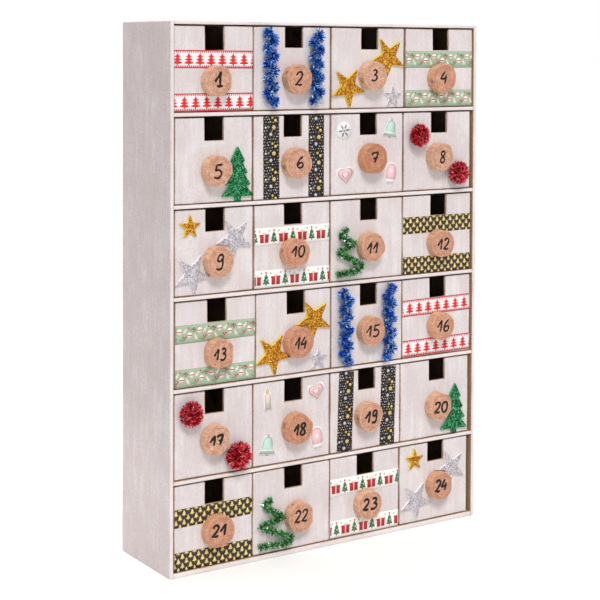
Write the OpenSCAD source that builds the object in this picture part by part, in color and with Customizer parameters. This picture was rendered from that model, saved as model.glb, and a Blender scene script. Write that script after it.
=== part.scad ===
// Papier-mache advent calendar: an open-fronted board case with six rows of four pull-out
// drawers. Every drawer front has a finger notch, a glued-on wooden disc as its knob and,
// on some drawers, glued-on foam, tinsel or chenille ornaments.
// The origin is the centre of the underside. +X is to the right, the drawers face -Y and
// +Z is up. All lengths are in millimetres.

/* [Case] */
// Outside width of the case
case_w = 320; // [308:1:360]
// Outside depth of the case, without knobs and ornaments
case_d = 86; // [70:1:120]
// Outside height of the case
case_h = 455; // [440:1:520]
// Thickness of the sides
side_t = 3.25; // [2.5:0.25:5]
// Thickness of the top panel
top_t = 2.5; // [2:0.25:5]
// Thickness of the base panel
base_t = 4.25; // [2.5:0.25:6]
// Thickness of each shelf
shelf_t = 3.25; // [2.5:0.25:5]
// Thickness of the back panel
back_t = 2.5; // [1.5:0.25:4]

/* [Drawers] */
// Thickness of a drawer's front
front_t = 2.5; // [2:0.25:4]
// Thickness of a drawer's sides and back
wall_t = 2; // [1.5:0.25:3]
// Thickness of a drawer's floor
floor_t = 2; // [1.5:0.25:3]
// Usual gap beside each drawer
side_gap = 1; // [0.5:0.25:2]
// Gap above each drawer
head_gap = 1.2; // [0.6:0.2:3]
// Gap under each drawer
slide_gap = 0.6; // [0.3:0.1:1]
// Gap behind each drawer
rear_gap = 2; // [1:0.5:6]
// How far a closed drawer sits behind the case's front edge
front_recess = 1.5; // [0.5:0.5:4]
// Width of the finger notch
notch_w = 18.5; // [14:0.5:22]
// Usual depth of the finger notch, down from the front's top edge
notch_depth = 18.5; // [13:0.5:20.5]

/* [Knobs] */
// Usual diameter of a knob
knob_d = 25.5; // [20:0.5:30]
// Thickness of a knob
knob_t = 9; // [6:0.5:14]
// Bevel around a knob's face
knob_bevel = 0.8; // [0.4:0.1:1.5]
// Usual height of a knob's centre above the drawer's underside
knob_height = 28; // [24:0.5:34]
// Least gap between a knob and an ornament beside it
knob_gap = 0.5; // [0.3:0.1:1.5]

/* [Foam ornaments] */
// Thickness of the foam stars and trees
foam_t = 2; // [1:0.25:4]
// Radius of a large gold star, centre to tip
gold_star_r = 18; // [14:0.5:18.5]
// Radius of a large silver star, centre to tip
silver_star_r = 17.25; // [14:0.25:17.5]
// Radius of a small star, centre to tip
small_star_r = 10; // [7:0.5:10.5]
// Width of a tree across its lowest branches
tree_w = 31; // [24:1:34]
// Height of a tree with its trunk
tree_h = 45; // [36:1:54]
// Width of a tree's trunk
trunk_w = 6; // [4:0.5:8]
// Height of a tree's trunk
trunk_h = 4; // [2:0.5:6]

/* [Tinsel and chenille ornaments] */
// Diameter of a tinsel garland
tinsel_d = 10.5; // [8:0.5:13]
// How far a garland swings to each side
tinsel_swing = 3; // [0.5:0.25:3.5]
// Diameter of a pompom
pompom_d = 22; // [14:0.5:23]
// How far a pompom stands out from the front
pompom_t = 12.5; // [8:0.5:18]
// Diameter of a chenille stem
stem_d = 7; // [4:0.5:7.5]
// How much the pile swells around a bend of a stem
bend_swell = 0.2; // [0.1:0.1:0.5]
// Depth of the glued flat on the back of a round ornament
glue_flat = 0.8; // [0.4:0.1:1.2]

/* [Hidden] */
$fn = 64;
rows = 6;
columns = 4;
drawers = rows * columns;
front_y = -case_d / 2;
inner_w = case_w - 2 * side_t;
inner_h = case_h - top_t - base_t;
inner_d = case_d - back_t;
bay_h = (inner_h - (rows - 1) * shelf_t) / rows;
slot_w = inner_w / columns;
drawer_h = bay_h - slide_gap - head_gap;
drawer_d = inner_d - rear_gap - front_recess;
through = 1;

// Colours of the painted board, the wood and the ornaments
board_colour = "#e4dfdd";
wood_colour = "#d9a57e";
gold_colour = "#d8a018";
silver_colour = "#c9cbd2";
green_colour = "#17803c";
blue_colour = "#1c3fae";
red_colour = "#b01c26";

// Tiers of branches on a tree, how far each tier steps in and how deep its notches cut
tree_tiers = 4;
tier_step = 0.092 * tree_w;
tier_notch = 0.72;
tier_droop = 0.22;

// Inner radius of a star as a share of its outer radius
star_waist = 0.42;

// Sides and rings of a garland's tube, its number of swings and its clearance to the edges
tinsel_sides = 10;
tinsel_rings = 33;
tinsel_swings = 5;
tinsel_margin = 1.5;

// How far right of their usual places each drawer's left and right edges are, in side gaps,
// because the boxes were cut and pushed in by hand
edge_shift = [
    [-0.5, -2], [-3, -2], [-2.5, -0.5], [-0.5, 0],
    [0.5, -2.5], [-3, -2], [-2.5, -1.5], [-2, -2],
    [0.5, -1.5], [-2, -2], [-2.5, -1.5], [-2.5, -1],
    [1, 1], [0, -0.5], [-1.5, -1.5], [-2.5, -1],
    [0.5, -1.5], [-2.5, -1.5], [-2, -3], [-4, -2.5],
    [0.5, -1.5], [-2.5, -1], [-2, -4], [-4.5, -3.5]
];

// Where each knob was glued, right and up from the usual place
knob_shift = [
    [0, -3], [2, -2], [1.5, 0.5], [-0.5, -2],
    [0, -1.5], [1.5, 2], [2.5, 3], [-0.5, 2],
    [1, -1], [-0.5, 1], [1, 0.5], [0.5, -1.5],
    [0.5, -2], [1.5, -0.5], [1, 1.5], [1, -1.5],
    [-1, 2], [2.5, 1], [0, 1.5], [1, 0],
    [1.5, 1], [4.5, 0], [0, -1.5], [3, 3]
];

// How much wider than usual each branch was
knob_extra = [
    0, 0, 0, 1.5,
    0, 1, 1, 0,
    0, 0, 0, 0,
    0, 1, 0, 0,
    0, 1.5, 0, 0,
    2, 0, 0, 0
];

// How much deeper than usual each notch was cut
notch_extra = [
    1.5, -1, 0, 0.5,
    0.5, -0.5, 0, 0,
    0, -1, 0, 0,
    0, 0.5, 0, 0,
    0.5, 0, -0.5, 0.5,
    0.5, -0.5, -0.5, -1
];

// How far right of the middle each drawer's notch was cut
notch_shift = [
    0.5, 1.5, 1.5, 1.5,
    0, 0.5, 1, 2,
    0.5, 0.5, 2, 1.5,
    1, 2, 1.5, 1,
    0.5, 1.5, 1, 2.5,
    0.5, 1.5, 0.5, 2
];

// Drawers that carry each kind of ornament
star_drawers = [3, 9, 14, 24];
tree_drawers = [5, 20];
tinsel_drawers = [2, 15];
pompom_drawers = [8, 17];
chenille_drawers = [11, 22];

// Stars by drawer: large star at the upper right (in from the right, down from the top, turn),
// large star at the lower left (in from the left, up from the bottom, turn) and small star,
// at the lower right beside gold stars and at the upper left beside silver ones
upper_star = [[18, 25.5, 47], [18.5, 25.5, 48], [18, 26, 47], [19.5, 26.5, 42]];
lower_star = [[17, 18.3, 59], [15.7, 17.4, 62], [16.2, 18.5, 60], [17, 19.5, 59]];
small_star = [[13.6, 10, 16], [13.5, 13.8, 18], [13.8, 10.2, 16], [15.9, 13.5, 18]];
gold_star_drawers = [3, 14];

// Trees by drawer: in from the right, up from the bottom and turned anticlockwise
tree_place = [[14.7, 0.4, 0], [17.4, 0.7, -2]];

// Garlands by drawer: in from the left for one and in from the right for the other
tinsel_place = [[14.5, 16.5], [12.8, 16.7]];

// Pompoms by drawer: the upper one in from the left and down from the top, the lower one
// in from the right and up from the bottom
upper_pompom = [[14, 20.3], [12.9, 16]];
lower_pompom = [[17, 14.6], [16.4, 14]];

// Bends of each chenille tree, in from the left and up from the bottom
chenille_bends = [
    [[15.5, 46], [8.5, 39], [24, 32], [6, 25.5], [31.5, 13], [28, 8], [5, 6]],
    [[17.5, 46], [9, 41], [28.5, 29.5], [5.5, 24], [37.5, 10], [33, 5.5], [4.5, 7]]
];

function tag(n) = str(n < 10 ? "0" : "", n);
function place_in(list, n) = search(n, list)[0];
function has(list, n) = len(search(n, list)) > 0;
function knob_node(n) =
    has(star_drawers, n) ? str("knob_and_stars_", tag(n)) :
    has(tree_drawers, n) ? str("knob_and_tree_", tag(n)) : str("knob_", tag(n));

// Drawer 1 is at the upper left and drawer 24 at the lower right
function column_of(n) = (n - 1) % columns;
function level_of(n) = rows - 1 - floor((n - 1) / columns);
function slot_left(n) = -inner_w / 2 + column_of(n) * slot_w;
function drawer_left(n) = slot_left(n) + side_gap * (1 + edge_shift[n - 1].x);
function drawer_right(n) = slot_left(n) + slot_w - side_gap * (1 - edge_shift[n - 1].y);
function drawer_w(n) = drawer_right(n) - drawer_left(n);
function drawer_x(n) = (drawer_left(n) + drawer_right(n)) / 2;
function drawer_z(n) = base_t + slide_gap + level_of(n) * (bay_h + shelf_t);
function from_left(n, d) = -drawer_w(n) / 2 + d;
function from_right(n, d) = drawer_w(n) / 2 - d;
function from_top(d) = drawer_h - d;
function notch_h(n) = notch_depth + notch_extra[n - 1];
function knob_size(n) = knob_d + knob_extra[n - 1];
function knob_x(n) = knob_shift[n - 1].x;
function knob_z(n) = knob_height + knob_shift[n - 1].y;

// Puts the middle of the lower edge of drawer n's front at the children's origin
module at_drawer(n) {
    translate([drawer_x(n), front_y + front_recess, drawer_z(n)]) children();
}

// Lays the children on drawer n's front: x to the right, y up and z out of the front
module on_front(n) {
    at_drawer(n) rotate([90, 0, 0]) children();
}

// Trims the children back from the knob of drawer n by the knob gap
module clear_of_knob(n) {
    difference() {
        children();
        translate([knob_x(n), knob_z(n), -through])
            cylinder(d = knob_size(n) + 2 * knob_gap, h = knob_t + 2 * pompom_d);
    }
}

// Cuts away what would reach behind the front's face
module flat_backed() {
    difference() {
        children();
        translate([-case_w, -case_h, -pompom_d]) cube([2 * case_w, 2 * case_h, pompom_d]);
    }
}

module side(x) {
    color(board_colour)
        translate([x, front_y, 0])
            cube([side_t, case_d, case_h]);
}

module left_side() {
    side(-case_w / 2);
}

module right_side() {
    side(case_w / 2 - side_t);
}

module top_panel() {
    color(board_colour)
        translate([-inner_w / 2, front_y, case_h - top_t])
            cube([inner_w, case_d, top_t]);
}

module base_panel() {
    color(board_colour)
        translate([-inner_w / 2, front_y, 0])
            cube([inner_w, case_d, base_t]);
}

module back_panel() {
    color(board_colour)
        translate([-inner_w / 2, front_y + inner_d, base_t])
            cube([inner_w, back_t, inner_h]);
}

module shelves() {
    color(board_colour)
        for (i = [1 : rows - 1])
            translate([-inner_w / 2, front_y, base_t + i * bay_h + (i - 1) * shelf_t])
                cube([inner_w, inner_d, shelf_t]);
}

// An open-topped box with a finger notch in its front
module drawer(n) {
    color(board_colour)
        at_drawer(n)
            difference() {
                translate([from_left(n, 0), 0, 0])
                    cube([drawer_w(n), drawer_d, drawer_h]);
                translate([from_left(n, wall_t), front_t, floor_t])
                    cube([drawer_w(n) - 2 * wall_t, drawer_d - front_t - wall_t, drawer_h]);
                translate([notch_shift[n - 1] - notch_w / 2, -through, drawer_h - notch_h(n)])
                    cube([notch_w, front_t + 2 * through, notch_h(n) + through]);
            }
}

// A slice of a peeled branch with a bevelled face
module knob(n) {
    knob_r = knob_size(n) / 2;
    color(wood_colour)
        on_front(n) translate([knob_x(n), knob_z(n), 0])
            rotate_extrude()
                polygon([[0, 0], [knob_r, 0], [knob_r, knob_t - knob_bevel],
                    [knob_r - knob_bevel, knob_t], [0, knob_t]]);
}

// A five-pointed foam star of outer radius r, one tip turned up from +X by an angle
module star(x, y, r, turn, colour) {
    color(colour)
        translate([x, y, 0])
            linear_extrude(foam_t)
                polygon([for (i = [0 : 9])
                    let (reach = i % 2 == 0 ? r : star_waist * r, angle = turn + 36 * i)
                    reach * [cos(angle), sin(angle)]]);
}

module stars(n) {
    i = place_in(star_drawers, n);
    gold = has(gold_star_drawers, n);
    large_colour = gold ? gold_colour : silver_colour;
    small_colour = gold ? silver_colour : gold_colour;
    large_r = gold ? gold_star_r : silver_star_r;
    upper = upper_star[i];
    lower = lower_star[i];
    small = small_star[i];
    small_x = gold ? from_right(n, small.x) : from_left(n, small.x);
    small_y = gold ? small.y : from_top(small.y);
    on_front(n) clear_of_knob(n) {
        star(from_right(n, upper.x), from_top(upper.y), large_r, upper.z, large_colour);
        star(from_left(n, lower.x), lower.y, large_r, lower.z, large_colour);
        star(small_x, small_y, small_star_r, small.z, small_colour);
    }
}

// Right half of a tree's outline, from the trunk's foot up to the tip
tier_h = (tree_h - trunk_h) / (tree_tiers + 0.2);
function tier_half(i) = tree_w / 2 - i * tier_step;
tree_half = concat(
    [[trunk_w / 2, 0], [trunk_w / 2, trunk_h]],
    [for (i = [0 : tree_tiers - 1], tip = [true, false])
        if (tip || i < tree_tiers - 1)
            tip
                ? [tier_half(i), trunk_h + i * tier_h]
                : [tier_notch * tier_half(i + 1), trunk_h + (i + 1 - tier_droop) * tier_h]],
    [[0, tree_h]]
);

// A foam fir tree with drooping tiers and a short trunk
module tree(n) {
    place = tree_place[place_in(tree_drawers, n)];
    left_half = [for (i = [len(tree_half) - 2 : -1 : 0]) [-tree_half[i].x, tree_half[i].y]];
    color(green_colour)
        on_front(n) clear_of_knob(n)
            translate([from_right(n, place.x), place.y, 0]) rotate([0, 0, place.z])
                linear_extrude(foam_t) polygon(concat(tree_half, left_half));
}

// One hanging garland: a flat-backed tube that swings from side to side as it climbs
module garland(x, side) {
    radius = tinsel_d / 2;
    length = drawer_h - 2 * tinsel_margin;
    rings = [for (k = [0 : tinsel_rings - 1])
        let (share = k / (tinsel_rings - 1),
            sway = side * tinsel_swing * sin(360 * tinsel_swings * share))
        [for (j = [0 : tinsel_sides - 1])
            let (angle = 360 * (j + 0.5) / tinsel_sides)
            [x + sway + radius * cos(angle),
                tinsel_margin + length * share,
                max(0, radius - glue_flat + radius * sin(angle))]]];
    last = tinsel_rings - 1;
    walls = [for (k = [0 : last - 1], j = [0 : tinsel_sides - 1], half = [0, 1])
        let (next = (j + 1) % tinsel_sides, low = k * tinsel_sides, high = low + tinsel_sides)
        half == 0 ? [low + j, low + next, high + next] : [low + j, high + next, high + j]];
    lower_end = [for (j = [1 : tinsel_sides - 2]) [0, j + 1, j]];
    upper_end = [for (j = [1 : tinsel_sides - 2]) [for (c = [0, j, j + 1]) last * tinsel_sides + c]];
    polyhedron([for (ring = rings) each ring], concat(walls, lower_end, upper_end));
}

// Two blue tinsel garlands, one each side of the knob
module tinsel(n) {
    place = tinsel_place[place_in(tinsel_drawers, n)];
    color(blue_colour)
        on_front(n) clear_of_knob(n) {
            garland(from_left(n, place[0]), 1);
            garland(from_right(n, place[1]), -1);
        }
}

// A flattened ball, turned from half an ellipse whose back ends at the glued flat
module pompom(x, y) {
    half_t = (pompom_t + glue_flat) / 2;
    middle = half_t - glue_flat;
    first = -asin(middle / half_t);
    bands = 10;
    rim = [for (i = [0 : bands - 1])
        let (angle = first + i * (90 - first) / bands)
        [pompom_d / 2 * cos(angle), middle + half_t * sin(angle)]];
    translate([x, y, 0])
        rotate_extrude() polygon(concat([[0, 0]], rim, [[0, pompom_t]]));
}

// Two red tinsel pompoms, at the upper left and the lower right
module pompoms(n) {
    i = place_in(pompom_drawers, n);
    color(red_colour)
        on_front(n) clear_of_knob(n) {
            pompom(from_left(n, upper_pompom[i].x), from_top(upper_pompom[i].y));
            pompom(from_right(n, lower_pompom[i].x), lower_pompom[i].y);
        }
}

// A straight run of chenille stem between two bends
module stem_run(a, b) {
    step = b - a;
    translate([a.x, a.y, stem_d / 2 - glue_flat])
        rotate([0, 0, atan2(step.y, step.x)]) rotate([0, 90, 0])
            cylinder(d = stem_d, h = norm(step));
}

// A chenille stem bent to and fro into a tree
module chenille_tree(n) {
    bends = [for (p = chenille_bends[place_in(chenille_drawers, n)]) [from_left(n, p.x), p.y]];
    color(green_colour)
        on_front(n) clear_of_knob(n) flat_backed() {
            for (i = [0 : len(bends) - 2])
                stem_run(bends[i], bends[i + 1]);
            for (p = bends)
                translate([p.x, p.y, stem_d / 2 - glue_flat]) sphere(d = stem_d + 2 * bend_swell);
        }
}

left_side();
right_side();
top_panel();
base_panel();
back_panel();
shelves();
for (n = [1 : drawers]) {
    drawer(n);
    knob(n);
}
for (n = star_drawers)
    stars(n);
for (n = tree_drawers)
    tree(n);
for (n = tinsel_drawers)
    tinsel(n);
for (n = pompom_drawers)
    pompoms(n);
for (n = chenille_drawers)
    chenille_tree(n);
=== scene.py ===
"""Papier-mache advent calendar: a whitewashed board case, 24 numbered drawers and glued-on winter ornaments.

Lengths are in millimetres in the part's frame until a piece is written as a mesh in metres.
"""
import math
from collections import namedtuple
from functools import partial

import bpy
import numpy as np
from mathutils import Matrix, Vector


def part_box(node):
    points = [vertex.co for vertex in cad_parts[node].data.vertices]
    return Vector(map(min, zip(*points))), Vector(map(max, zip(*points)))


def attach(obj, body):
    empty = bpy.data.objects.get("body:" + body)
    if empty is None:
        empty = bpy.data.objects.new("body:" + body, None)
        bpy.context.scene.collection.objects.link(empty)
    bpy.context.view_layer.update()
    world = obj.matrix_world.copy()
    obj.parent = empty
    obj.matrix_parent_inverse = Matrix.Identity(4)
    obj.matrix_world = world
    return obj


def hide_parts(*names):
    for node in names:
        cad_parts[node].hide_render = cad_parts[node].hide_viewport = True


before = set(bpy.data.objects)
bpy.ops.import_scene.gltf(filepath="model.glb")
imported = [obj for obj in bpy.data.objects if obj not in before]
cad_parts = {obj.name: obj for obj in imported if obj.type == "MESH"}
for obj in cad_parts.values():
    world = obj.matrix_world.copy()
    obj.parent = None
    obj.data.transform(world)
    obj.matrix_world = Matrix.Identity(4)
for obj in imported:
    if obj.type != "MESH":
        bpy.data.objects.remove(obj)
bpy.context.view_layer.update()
scene = bpy.context.scene
MM = 0.001
KNOB_SEED, TAPE_SEED, ORNAMENT_SEED = 100, 300, 500

# Case boards: how round their edges are, the usual distance between a board's points, and the shelves
EDGE_R, BOARD_STEP = 0.8, 6.0
SHELVES, SHELF_T = 5, 3.25

# Drawer boxes: thicknesses, roundings of the corners outside and inside, the finger notch's width, and each
# notch's depth and how far right of the middle it was cut
FRONT_T, WALL_T, FLOOR_T = 2.5, 2.0, 2.0
OUTER_R, INNER_R = 0.8, 0.3
NOTCH_W = 18.5
NOTCH_DEPTH = (20, 17.5, 18.5, 19, 19, 18, 18.5, 18.5, 18.5, 17.5, 18.5, 18.5,
               18.5, 19, 18.5, 18.5, 19, 18.5, 18, 19, 19, 18, 18, 17.5)
NOTCH_SHIFT = (0.5, 1.5, 1.5, 1.5, 0, 0.5, 1, 2, 0.5, 0.5, 2, 1.5,
               1, 2, 1.5, 1, 0.5, 1.5, 1, 2.5, 0.5, 1.5, 0.5, 2)

# Knobs: each one's radius, their thickness and height above the drawer's underside, and where each was glued
KNOB_R = (12.75, 12.75, 12.75, 13.5, 12.75, 13.25, 13.25, 12.75, 12.75, 12.75, 12.75, 12.75,
          12.75, 13.25, 12.75, 12.75, 12.75, 13.5, 12.75, 12.75, 13.75, 12.75, 12.75, 12.75)
KNOB_T, KNOB_UP, KNOB_POINTS = 9.0, 28.0, 96
KNOB_SHIFT = ((0, -3), (2, -2), (1.5, 0.5), (-0.5, -2), (0, -1.5), (1.5, 2),
              (2.5, 3), (-0.5, 2), (1, -1), (-0.5, 1), (1, 0.5), (0.5, -1.5),
              (0.5, -2), (1.5, -0.5), (1, 1.5), (1, -1.5), (-1, 2), (2.5, 1),
              (0, 1.5), (1, 0), (1.5, 1), (4.5, 0), (0, -1.5), (3, 3))

# Flats left by the knife on each branch: the way each one faces in degrees, and its distance from the middle
KNOB_FLATS = (
    ((0, 11.6), (-60, 12)), ((-5, 12), (-40, 12.2)), ((60, 12.4),), ((100, 13), (0, 13), (-45, 13)),
    ((-35, 11.8), (40, 12.3)), ((20, 12.5),), ((5, 12.8),), ((-40, 11.9), (10, 12.2)),
    ((45, 12.2), (200, 12.2)), ((-75, 11.6), (80, 12)), ((-45, 12), (20, 11.9)), ((70, 12.1), (-90, 12)),
    ((0, 11.1), (-80, 11.3), (180, 11.8)), ((60, 12.9),), ((10, 12.3),), ((150, 12), (-60, 12)),
    ((0, 10.8), (-45, 11)), ((45, 12.2),), ((-20, 12.2),), ((-40, 11.2), (5, 11.2)),
    ((90, 13.2), (-90, 12.5), (-50, 12.8)), ((0, 11.5),), ((-20, 12.2),), ((0, 11.2), (50, 11.8)))

# Knots on the sides of some knobs: the way each one faces in degrees, and its distance out from the front
KNOTS = {2: (152, 4.5), 3: (205, 4), 4: (192, 6), 6: (196, 4), 10: (170, 3.5), 18: (165, 4), 19: (186, 5),
         22: (120, 4)}

# How dark and how orange each knob's wood is, from 0 to 1
KNOB_WOOD = ((0.2, 0.2), (0.4, 0.4), (0, 0.2), (0.4, 0.5), (0.1, 0.3), (0.2, 0.35),
             (0.9, 0.9), (0.35, 0.15), (0, 0.4), (0.1, 0.75), (0.35, 0.4), (0.4, 0.45),
             (0.1, 0.5), (0.55, 0.8), (0.15, 0.6), (0.15, 0.55), (0.1, 0.2), (0.45, 0.8),
             (0.1, 0.4), (0.15, 0.3), (0.4, 0.65), (0.25, 0.45), (0, 0.4), (0.5, 0.55))

# Each number's middle, right and up from its knob's, its height and its whole width
NUMBERS = ((-0.5, 2, 12.5, 7), (-1, 0.5, 11.5, 7), (-1, 0.5, 9.5, 6), (-1, 0.5, 11.5, 7),
           (-1, 0, 11, 7), (1, 1, 9.5, 6.5), (-0.5, 1, 9.5, 7), (0, 0, 10, 6),
           (-0.5, 0, 12, 7), (0.5, 1.5, 9.5, 13), (-1, -0.5, 10, 12), (0, -0.5, 10, 13),
           (-1.5, 0, 9.5, 11.5), (0, -0.5, 10.5, 11.5), (-1, 0.5, 10, 14), (0, 0.5, 10.5, 13.5),
           (-1.5, 0.5, 8.5, 12.5), (0, -0.5, 10, 12), (0, 0, 10.5, 13), (-0.5, 0, 9.5, 14.5),
           (-1, 1.5, 9.5, 14), (-0.5, 1, 10, 13), (-0.5, 1, 9.5, 15), (-1, 0.5, 10.5, 13))
NUMBER_LEAN, MARKER_W, BOLD_W, INK_T = 0.12, 1.75, 2.15, 0.05
BOLD = (1, 17, 18, 19, 20, 21, 23, 24)

# Strokes of the hand-drawn digits, in a box 0.6 wide and 1 high
DIGIT_BOX = 0.6
DIGITS = {
    "0": (((0.3, 1), (0.1, 0.82), (0.02, 0.5), (0.12, 0.12), (0.3, 0), (0.5, 0.15),
           (0.58, 0.5), (0.5, 0.86), (0.3, 1)),),
    "1": (((0, 0.38), (0.22, 0.68), (0.45, 1)), ((0.45, 1), (0.43, 0.5), (0.4, 0))),
    "2": (((0.05, 0.75), (0.15, 0.95), (0.35, 1), (0.52, 0.85), (0.48, 0.6), (0.25, 0.28), (0, 0.02)),
          ((0, 0.02), (0.15, 0.1), (0.35, 0.02), (0.58, 0.1))),
    "3": (((0.08, 0.9), (0.3, 1), (0.5, 0.85), (0.42, 0.62), (0.22, 0.53)),
          ((0.22, 0.53), (0.48, 0.48), (0.58, 0.25), (0.42, 0.03), (0.18, 0), (0, 0.12))),
    "4": (((0.35, 1), (0.15, 0.7), (0, 0.42), (0.3, 0.42), (0.6, 0.5)),
          ((0.48, 0.72), (0.45, 0.4), (0.42, 0))),
    "5": (((0.12, 1), (0.1, 0.75), (0.08, 0.55), (0.3, 0.6), (0.52, 0.45), (0.55, 0.2), (0.35, 0),
           (0.1, 0.02), (0, 0.1)), ((0.12, 0.99), (0.35, 0.97), (0.58, 1))),
    "6": (((0.5, 1), (0.25, 0.8), (0.08, 0.5), (0.05, 0.22), (0.22, 0), (0.45, 0.05), (0.56, 0.25),
           (0.45, 0.45), (0.25, 0.42), (0.1, 0.3)),),
    "7": (((0.02, 0.7), (0.05, 0.9), (0.25, 0.96), (0.55, 1)), ((0.55, 1), (0.45, 0.6), (0.3, 0)),
          ((0.12, 0.42), (0.35, 0.45), (0.58, 0.5))),
    "8": (((0.3, 0.52), (0.1, 0.72), (0.15, 0.95), (0.35, 1), (0.48, 0.85), (0.42, 0.65), (0.2, 0.45),
           (0.05, 0.2), (0.2, 0), (0.42, 0.03), (0.52, 0.22), (0.42, 0.42), (0.3, 0.52)),),
    "9": (((0.45, 0.75), (0.3, 0.55), (0.1, 0.6), (0.1, 0.85), (0.3, 1), (0.48, 0.9), (0.48, 0.6),
           (0.5, 0.25), (0.4, 0.03), (0.15, 0), (0.02, 0.1)),)}
LONE_ONE = (((0, 0.3), (0.14, 0.5), (0.32, 0.72), (0.4, 1)), ((0.4, 1), (0.41, 0.5), (0.45, 0)),
            ((0.2, 0.03), (0.45, 0), (0.7, 0.05)))

# Tapes by drawer: the print, the heights of the two strips' middles above the drawer's underside, and the
# share of the print's repeat at which each strip was cut; for upright strips each one's middle, lean in
# degrees and the height of one large dot above the drawer's middle
TAPE_W, DOTTED_TAPE_W, TAPE_T, TAPE_GAP = 15.0, 16.0, 0.14, 0.3
LEVEL_TAPES = {1: ("red_trees", 42.9, 7.7, 0.86, 0.47), 4: ("sage", 42.8, 7.7, 0.2, 0.65),
               10: ("gifts", 43.8, 7.7, 0.5, 0.1), 12: ("gold_trees", 43.9, 7.7, 0.5, 0.25),
               13: ("sage", 43.8, 7.7, 0.7, 0.3), 16: ("red_trees", 44.7, 8.2, 0.34, 0.2),
               21: ("gold_trees", 43.5, 7.7, 0.8, 0.6), 23: ("gifts", 44.6, 7.8, 0.3, 0.85)}
UPRIGHT_TAPES = {6: (("left", -21.2, 0.4, 3.5), ("right", 24.6, 0, 16)),
                 19: (("left", -21.8, -1.8, 17.6), ("right", 24.3, -1.4, 14.6))}

# How far the prints reach below and above the tape's face, and those that lie on other prints; their repeats
PRINT_LOW, PRINT_HIGH, PRINT_TOP = -0.05, 0.06, 0.09
RED_PITCH, TOOTH_PITCH, GOLD_PITCH, SAGE_PITCH, GIFT_PITCH = 10.5, 2, 7.6, 19.0, 19.2
DOT_PITCH, DOT_GRID = 22, 2.4

# Foam stars by drawer: the large ones' colour, then for the upper, the lower and the small star how far each
# is in from the drawer's sides and its top or bottom, and the way one tip points in degrees
FOAM_T, SMALL_STAR_R, STAR_TIP, STAR_WAIST = 2.0, 10.0, 1.06, 0.42
STAR_R = {"gold": 18.0, "silver": 17.25}
SMALL_STAR = {"gold": "silver", "silver": "gold"}
STARS = {3: ("gold", (18, 25.5, 47), (17, 18.3, 59), (13.6, 10, 16)),
         9: ("silver", (18.5, 25.5, 48), (15.7, 17.4, 62), (13.5, 13.8, 18)),
         14: ("gold", (18, 26, 47), (16.2, 18.5, 60), (13.8, 10.2, 16)),
         24: ("silver", (19.5, 26.5, 42), (17, 19.5, 59), (15.9, 13.5, 18))}

# Foam fir trees by drawer: in from the right, up from the bottom and turned anticlockwise in degrees
TREE_W, TREE_H, TRUNK_W, TRUNK_H = 31.0, 45.0, 6.0, 4.0
TREES = {5: (14.7, 0.4, 0), 20: (17.4, 0.7, -2)}

# Tinsel, pompoms and chenille stems by drawer, measured in from the drawer's edges: the garlands are in from
# the left or right, up from the bottom and down from the top; a pompom's last value is its share of the usual
# size
TINSEL_R, TINSEL_SWING, TINSEL_SWINGS, GLUED = 5.25, 4.0, 5, 0.8
TINSEL = {2: ((14.5, 4.0, 2.0), (16.5, 5.5, 4.5)), 15: ((12.8, 2.5, 2.5), (16.7, 2.5, 2.0))}
POMPOM_R, POMPOM_T = 11.0, 12.5
POMPOMS = {8: ((14, 20.3, 0.91), (17, 14.6, 0.95)), 17: ((12.9, 16, 0.94), (16.4, 14, 1.05))}
STEM_R = 3.5
CHENILLE = {11: ((15.5, 46), (8.5, 39), (24, 32), (6, 25.5), (31.5, 13), (28, 8), (5, 6)),
            22: ((17.5, 46), (9, 41), (28.5, 29.5), (5.5, 24), (37.5, 10), (33, 5.5), (4.5, 7))}
GARLAND_STRIPS, STEM_STRIPS, POMPOM_STRIPS = 1300, 1500, 1200


def linear(code):
    """An sRGB hex colour as linear red, green, blue and alpha."""
    parts = [int(code[i:i + 2], 16) / 255 for i in (1, 3, 5)]
    return tuple(c / 12.92 if c <= 0.04045 else ((c + 0.055) / 1.055) ** 2.4 for c in parts) + (1.0,)


def add(tree, kind, inputs=None, out=0, **settings):
    """Adds a shader node with its settings, gives its inputs values, hex colours or links, and returns an
    output.
    """
    made = tree.nodes.new("ShaderNode" + kind)
    for name, value in settings.items():
        setattr(made, name, value)
    for key, value in (inputs or {}).items():
        if isinstance(value, bpy.types.NodeSocket):
            tree.links.new(value, made.inputs[key])
        else:
            made.inputs[key].default_value = linear(value) if isinstance(value, str) else value
    return made.outputs[out]


def finish(name, surface):
    """A material of the given name whose nodes are laid out by a surface function."""
    material = bpy.data.materials.new(name)
    material.use_nodes = True
    tree = material.node_tree
    tree.nodes.clear()
    shown = tree.nodes.new("ShaderNodeOutputMaterial")
    tree.links.new(surface(partial(add, tree)), shown.inputs["Surface"])
    return material


# Settings of a Mix node that blends colours
BLEND = {"out": 2, "data_type": "RGBA"}


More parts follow.
